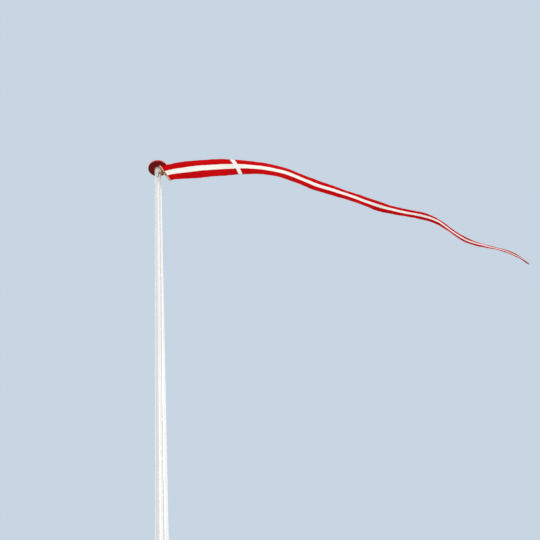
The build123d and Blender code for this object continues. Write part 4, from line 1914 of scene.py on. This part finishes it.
@dataclass
class Pennant:
    """The long tapering pennant, tacked to its stick and flying in a light wind.

    The climbs and leans follow the cloth in the photograph: they were fitted to its two edges and
    rounded, and most of the leans were then changed. They are in degrees, at places that
    are shares of the length. Ply is half the cloth's thickness, rows are those round the stick,
    near it and beyond, and hem_column is where the hem begins among the columns, from 0 to 1.
    Beside, loose and every start, fade, foot, side and step are distances over which something
    comes or goes.
    """

    stick: Stick
    length: float = 4.0
    hoist: float = 204 * MM
    belly: float = 244 * MM
    belly_place: float = 0.07
    tip: float = 24 * MM
    places: tuple[float, ...] = (0.0, 0.05, 0.10, 0.15, 0.20, 0.25, 0.30, 0.35,
                                 0.40, 0.46, 0.52, 0.58, 0.66, 0.78, 0.90, 1.0)
    climbs: tuple[float, ...] = (26.8, 20.0, 26.0, 23.0, 8.0, 1.0, 0.0, -8.0,
                                 -21.0, -28.0, -6.0, 0.0, -17.0, -23.0, -23.0, -21.0)
    leans: tuple[float, ...] = (0.0, 0.0, 3.0, 6.0, 1.5, -1.0, -4.0, 0.0,
                                4.0, 1.0, 4.0, 13.0, 10.0, 6.0, 3.0, 2.0)
    sway: float = 42 * MM
    waves: float = 4.5
    growth: float = 0.7
    beside: float = 60 * MM
    belly_depth: float = 10 * MM
    belly_start: float = 0.4
    shear: float = 0.2
    shear_end: tuple[float, float] = (1.2, 3.6)
    wrap: float = math.radians(80)
    hem: float = 9 * MM
    notch: float = 30 * MM
    notch_depth: float = 14 * MM
    notch_fade: float = 90 * MM
    notch_side: float = 4 * MM
    ply: float = 0.3 * MM
    near: float = 0.08
    rows: tuple[int, int, int] = (9, 17, 480)
    hem_column: float = 0.85
    hem_step: float = 0.04
    hem_swell: float = 1.3
    hem_roll: float = 0.6
    hem_roll_from: float = 0.97
    loose: float = 0.12
    calm: float = 0.35
    flutter: tuple[Wave, ...] = (Wave(4.5 * MM, 0.52, 0.2, 0.6), Wave(1.6 * MM, 0.24, -0.3, 2.1))
    drawn: tuple[Wave, ...] = (Wave(0.8 * MM, 0.052, 0.5, 0.4), Wave(0.48 * MM, 0.031, -0.8, 1.9))
    drawn_fade: float = 0.9
    fan_height: float = 2.0 * MM
    fan_count: float = 9.0
    fan_fade: float = 0.22
    fan_foot: float = 0.05
    flick: float = 1.0 * MM
    flick_length: float = 0.13
    flick_lag: float = 1.4
    creases: tuple[float, ...] = (0.061, 0.083, 0.118, 0.152, 0.205)
    crease_height: float = 0.32 * MM
    crease_turn: float = 1.1
    seed: int = 7
    tack_radius: float = 2.1 * MM
    tack_height: float = 1.0 * MM
    tack_sunk: float = 0.5 * MM
    tack_clear: float = 4 * MM
    tack_turn: float = math.radians(48)
    tack_reach: float = 92 * MM
    tack_spots: int = 9

    def width(self, distance: Array) -> Array:
        """Width of the cut cloth: straight lines from hoist to belly and from belly to tip."""
        share = distance / self.length
        return np.interp(share, (0.0, self.belly_place, 1.0), (self.hoist, self.belly, self.tip))

    def middle_line(self, steps: int) -> tuple[Array, Array, Array, Array]:
        """Centre line of the flying cloth and its directions, evenly divided.

        The line starts at the stick's middle and climbs by the angle given for each share of the
        length, so x and z are the running sums of cos and sin of that angle. Sideways it sways by
        a sine that grows with a power of the share. The cloth lies beside the stick at first and
        comes in to the line.

        Args:
            steps: Number of steps along the line.

        Returns:
            Distances, points, upward directions in the cloth and sideways directions.
        """
        distance = np.linspace(0.0, self.length, steps + 1)
        share = distance / self.length
        climb = np.radians(np.interp((share[1:] + share[:-1]) / 2, self.places, self.climbs))
        line = np.zeros((steps + 1, 3))
        line[1:, 0] = np.cumsum(np.cos(climb)) * self.length / steps
        line[1:, 2] = np.cumsum(np.sin(climb)) * self.length / steps
        line[:, 1] = -self.sway * share**self.growth * np.sin(TURN * self.waves * share)
        line[:, 1] += (self.stick.radius + self.ply) * (1 - smooth_step(distance / self.beside))
        line += self.stick.centre()
        tangent = unit(np.gradient(line, axis=0))
        side = unit(AXIS_Y - tangent * tangent[:, 1:2])
        up = np.cross(tangent, side)
        lean = np.radians(np.interp(share, self.places, self.leans))[:, None]
        cos, sin = np.cos(lean), np.sin(lean)
        return distance, line, cos * up - sin * side, cos * side + sin * up

    def flight(self, distance: Array) -> tuple[Array, Array, Array]:
        """Points of the centre line and its directions, on a circle round the stick before its start.

        Args:
            distance: Array of distances along the cloth, below zero round the stick.

        Returns:
            Points, upward directions in the cloth and sideways directions, for each distance.
        """
        fine, *lines = self.middle_line(2000)
        points, ups, sides = (np.stack([np.interp(distance, fine, part) for part in values.T], axis=-1)
                              for values in lines)
        beside = self.stick.radius + self.ply
        turn = np.clip(-distance, 0.0, None)[..., None] / beside
        away = np.cos(turn) * AXIS_Y - np.sin(turn) * self.stick.out()
        before = distance[..., None] < 0
        return (np.where(before, self.stick.centre() + beside * away, points),
                np.where(before, self.stick.up(), ups), np.where(before, away, sides))

    def ripple(self, distance: Array, share: Array, across: Array) -> Array:
        """How far the cloth stands off its lean plane, sideways.

        A belly that is a parabola across the cloth and shrinks towards the tip, a flutter that
        travels slantwise along it, tension folds that fan out from the stick's two ends and fade
        within half a metre, long folds along it that fade within a metre and a half, edges that
        flick faster than the middle, and five small seeded waves for creases.

        Args:
            distance: Along the cloth, in metres.
            share: Across it, -1 to 1.
            across: Across it, in metres.

        Returns:
            Offsets in metres.
        """
        ahead = np.clip(distance, 0.0, None)
        free = smooth_step(distance / self.loose)
        grow = free * (self.calm + (1 - self.calm) * np.clip(distance / self.length, 0.0, 1.0))
        slim = self.width(ahead) / self.belly
        belly = -self.belly_depth * slim * smooth_step(distance / self.belly_start) * (1 - share**2)
        flutter = grow * sum(wave.offsets(distance, share) for wave in self.flutter)
        folds = sum(wave.offsets(across, distance) for wave in self.drawn)
        drawn = free * np.exp(-ahead / self.drawn_fade) * folds
        angles = (np.arctan2(self.hoist / 2 + side * across, distance + self.fan_foot) for side in (-1, 1))
        rays = sum(np.sin(self.fan_count * angle) for angle in angles)
        fan = self.fan_height * np.exp(-ahead / self.fan_fade) * smooth_step(distance / self.fan_foot) * rays
        beat = np.sin(TURN * distance / self.flick_length + self.flick_lag * np.sign(share))
        flick = self.flick * grow * np.abs(share) ** 3 * beat
        random = np.random.default_rng(self.seed)
        crease = np.zeros_like(distance)
        for wavelength in self.creases:
            slant, phase = random.uniform(-self.crease_turn, self.crease_turn), random.uniform(0.0, TURN)
            along = distance * math.cos(slant) + across * math.sin(slant)
            crease += self.crease_height * np.sin(TURN * along / wavelength + phase)
        return belly + flutter + fan + drawn + flick + crease * free

    def columns(self) -> Array:
        """Places across the cloth, -1 to 1 up one face and back down the other.

        The outer columns keep to the hem and the rest share what is between.

        Returns:
            Array of places; the hem begins at hem_column.
        """
        inner, outer = np.linspace(0.0, self.hem_column, 22), (0.862, 0.89, 0.93, 0.97, 0.99, 1.0)
        half = np.concatenate([inner, outer])
        column = np.concatenate([-half[:0:-1], half])
        return np.concatenate([column, column[::-1]])

    def cloth(self) -> Piece:
        """The cloth as one closed thin surface.

        Rows go along the cloth and columns up its +Y face and down its -Y face. The first rows
        are pushed along the cloth where the becket needs room, and past the stick the weave is
        sheared, so that a line across it runs out with its height. Half the thickness is one
        ply, and more in the hems.

        Returns:
            The cloth.
        """
        wrapped = self.wrap * (self.stick.radius + self.ply)
        first, second, third = self.rows
        rows = np.concatenate([np.linspace(-wrapped, 0.0, first)[:-1],
                               np.linspace(0.0, self.near, second)[:-1],
                               np.linspace(self.near, self.length, third)])
        column = self.columns()
        row, share = np.meshgrid(rows, column, indexing="ij")
        face = np.repeat([1.0, -1.0], len(column) // 2)
        size = np.abs(share)
        width = self.width(np.clip(row, 0.0, None)) / 2
        inner = width - self.hem
        start = self.hem_column
        hemmed = inner + self.hem * (size - start) / (1 - start)
        across = np.sign(share) * np.where(size < start, inner * size / start, hemmed)
        room = smooth_step((self.notch - np.abs(across - self.hook_rise())) / self.notch_side)
        pushed = (wrapped + self.notch_depth) * room * (1 - smooth_step((row + wrapped) / self.notch_fade))
        distance = row + pushed
        begin, end = self.shear_end
        pulled = self.shear * smooth_step(distance / self.belly_start)
        pulled = pulled * (1 - smooth_step((distance - begin) / (end - begin)))
        points, up, side = self.flight(distance - pulled * across)
        rolled = self.hem_roll * smooth_step((size - self.hem_roll_from) / (1 - self.hem_roll_from))
        doubled = smooth_step((size - start) / self.hem_step) * (1 - rolled)
        half = face * self.ply * (1 + self.hem_swell * doubled)
        offset = self.ripple(distance, across / width, across) + half
        points = points + across[..., None] * up + offset[..., None] * side
        grids = {"flat": (distance, across), "panel": (across / width, width)}
        uv = {name: np.stack([np.append(part, part[:, :1], axis=1) for part in pair], axis=-1)
              for name, pair in grids.items()}
        return surface("pennant_bunting", points, uv, Closed.ROUND, capped=True, crease=60.0)

    def hook_rise(self) -> float:
        """Height of the hook above the stick's middle, along the stick."""
        return self.stick.rise_to(middle("snap_hook")[2])

    def tacks(self) -> list[Piece]:
        """Domed tacks in a row on the wrapped cloth, clear of the becket.

        Returns:
            The tacks.
        """
        outline = dome(self.tack_radius, self.tack_height, self.tack_sunk, 6)
        axis = math.cos(self.tack_turn) * AXIS_Y - math.sin(self.tack_turn) * self.stick.out()
        foot = self.stick.centre() + (self.stick.radius + 2 * self.ply) * axis
        spots = np.linspace(-self.tack_reach, self.tack_reach, self.tack_spots)
        spots = spots[np.abs(spots - self.hook_rise()) > self.notch + self.tack_clear]
        made = []
        for k, spot in enumerate(spots):
            origin = foot + spot * self.stick.up()
            tack = turned(f"pennant_tack_{k}", outline, looking(tuple(origin), tuple(axis)), 16)
            made.append(ride(BRASS.dress(tack), Body.RIG))
        return made

    def build(self) -> list[Piece]:
        """The cloth and its tacks.

        Returns:
            The pieces.
        """
        bunting = Bunting("woven_bunting", Slot.CLOTH, hem=self.hem)
        cloth = ride(bunting.dress(self.cloth()), Body.RIG, "pennant")
        tacks = self.tacks()
        return [cloth, *tacks]


# Light, floor and camera


@dataclass
class Studio:
    """Pale floor, even pale surroundings and three soft suns.

    A sun is given by its azimuth from -Y, height and strength, and how wide it looks, in degrees.
    """

    backdrop: Colour = colour(200, 213, 226)
    floor: Colour = colour(171, 184, 195)
    shade: float = 0.97
    cloud_scale: float = 0.4
    roughness: float = 0.9
    bounce: Colour = colour(128, 128, 124)
    reach: float = 60.0
    world: float = 0.75
    suns: tuple[tuple[float, float, float, float], ...] = (
        (48.0, 34.0, 1.9, 9.0), (-38.0, 24.0, 1.0, 30.0), (172.0, 36.0, 0.9, 80.0))

    def surroundings(self) -> None:
        """A world that lights evenly, and shows the backdrop to the camera, to gloss and through glass."""
        world = bpy.data.worlds.new("studio")
        bpy.context.scene.world = world
        world.use_nodes = True
        world.node_tree.nodes.clear()
        graph = Graph(world.node_tree)
        light = graph.add("ShaderNodeBackground", {"Color": (1.0, 1.0, 1.0, 1.0), "Strength": self.world})
        shown = graph.add("ShaderNodeBackground", {"Color": self.backdrop, "Strength": 1.0})
        mixed = graph.add("ShaderNodeMixShader", {0: graph.seen(), 1: light.outputs[0], 2: shown.outputs[0]})
        graph.add("ShaderNodeOutputWorld", {0: mixed.outputs[0]})

    def ground(self) -> None:
        """A flat square of floor: x and y run from -reach to reach and z is 0."""
        spread = np.linspace(-self.reach, self.reach, 9)
        points = np.stack(np.meshgrid(spread, spread, [0.0]), axis=-1)[:, :, 0]
        floor = surface("floor", points, {})
        made = bpy.data.materials.new("studio_floor")
        made.use_nodes = True
        graph = Graph(made.node_tree)
        shaded = (*(self.shade * part for part in self.floor[:3]), 1.0)
        tone = graph.blend(graph.noise(graph.place(), self.cloud_scale, 2.0), self.floor, shaded)
        shader = made.node_tree.nodes["Principled BSDF"]
        graph.feed(shader.inputs["Base Color"], graph.blend(graph.seen(), self.bounce, tone))
        shader.inputs["Roughness"].default_value = self.roughness
        floor.data.materials.append(made)

    def lamps(self) -> None:
        """The suns, each turned so that it shines from its azimuth and height."""
        for k, (azimuth, height, strength, soft) in enumerate(self.suns):
            lamp = bpy.data.lights.new(f"sun_{k}", "SUN")
            lamp.energy, lamp.angle = strength, math.radians(soft)
            holder = bpy.data.objects.new(f"sun_{k}", lamp)
            holder.rotation_euler = (math.radians(90 - height), 0.0, math.radians(azimuth))
            bpy.context.scene.collection.objects.link(holder)

    def build(self) -> None:
        """Surroundings, floor, lamps and the plain view transform."""
        self.surroundings()
        self.ground()
        self.lamps()
        bpy.context.scene.view_settings.view_transform = "Standard"


@dataclass
class Camera:
    """The photograph's view: from 5.3 m in front of the pole, at 1.6 m, looking up at its top.

    The yaw, pitch and roll were fitted to the photograph.
    """

    azimuth: float = math.radians(12.0)
    distance: float = 5.3
    height: float = 1.6
    yaw: float = math.radians(22.208)
    pitch: float = math.radians(43.445)
    roll: float = math.radians(-7.661)
    lens: float = 57.0
    sensor: float = 36.0
    clip: tuple[float, float] = (0.05, 400.0)

    def build(self) -> None:
        """Make the camera and let the scene use it."""
        x, y, _ = middle("pole_tube")
        origin = Vector((x - self.distance * math.sin(self.azimuth),
                         y - self.distance * math.cos(self.azimuth), self.height))
        level = math.cos(self.pitch)
        forward = Vector((math.sin(self.yaw) * level, math.cos(self.yaw) * level, math.sin(self.pitch)))
        right = forward.cross(Vector((0.0, 0.0, 1.0))).normalized()
        above = right.cross(forward)
        rolled_right = right * math.cos(self.roll) + above * math.sin(self.roll)
        rolled_up = above * math.cos(self.roll) - right * math.sin(self.roll)
        turn = Matrix((rolled_right, rolled_up, -forward)).transposed().to_4x4()
        data = bpy.data.cameras.new("photograph")
        data.lens, data.sensor_width = self.lens, self.sensor
        data.clip_start, data.clip_end = self.clip
        camera = bpy.data.objects.new("photograph", data)
        camera.matrix_world = Matrix.Translation(origin) @ turn
        bpy.context.scene.collection.objects.link(camera)
        bpy.context.scene.camera = camera


def main() -> None:
    """Build the sub-assemblies in order and report each piece."""
    logging.basicConfig(level=logging.INFO, format="%(name)s: %(message)s")
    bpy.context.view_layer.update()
    Camera().build()
    Studio().build()
    stick = Stick()
    for part in (Post(), Mast(), Clamps(), Truck(), Cleat(), Halyard(), stick, Pennant(stick)):
        for piece in part.build():
            log.info("%s: %s, %d faces", type(part).__name__, piece.name, len(piece.data.polygons))
    bpy.context.view_layer.update()


if __name__ == "__main__":
    main()
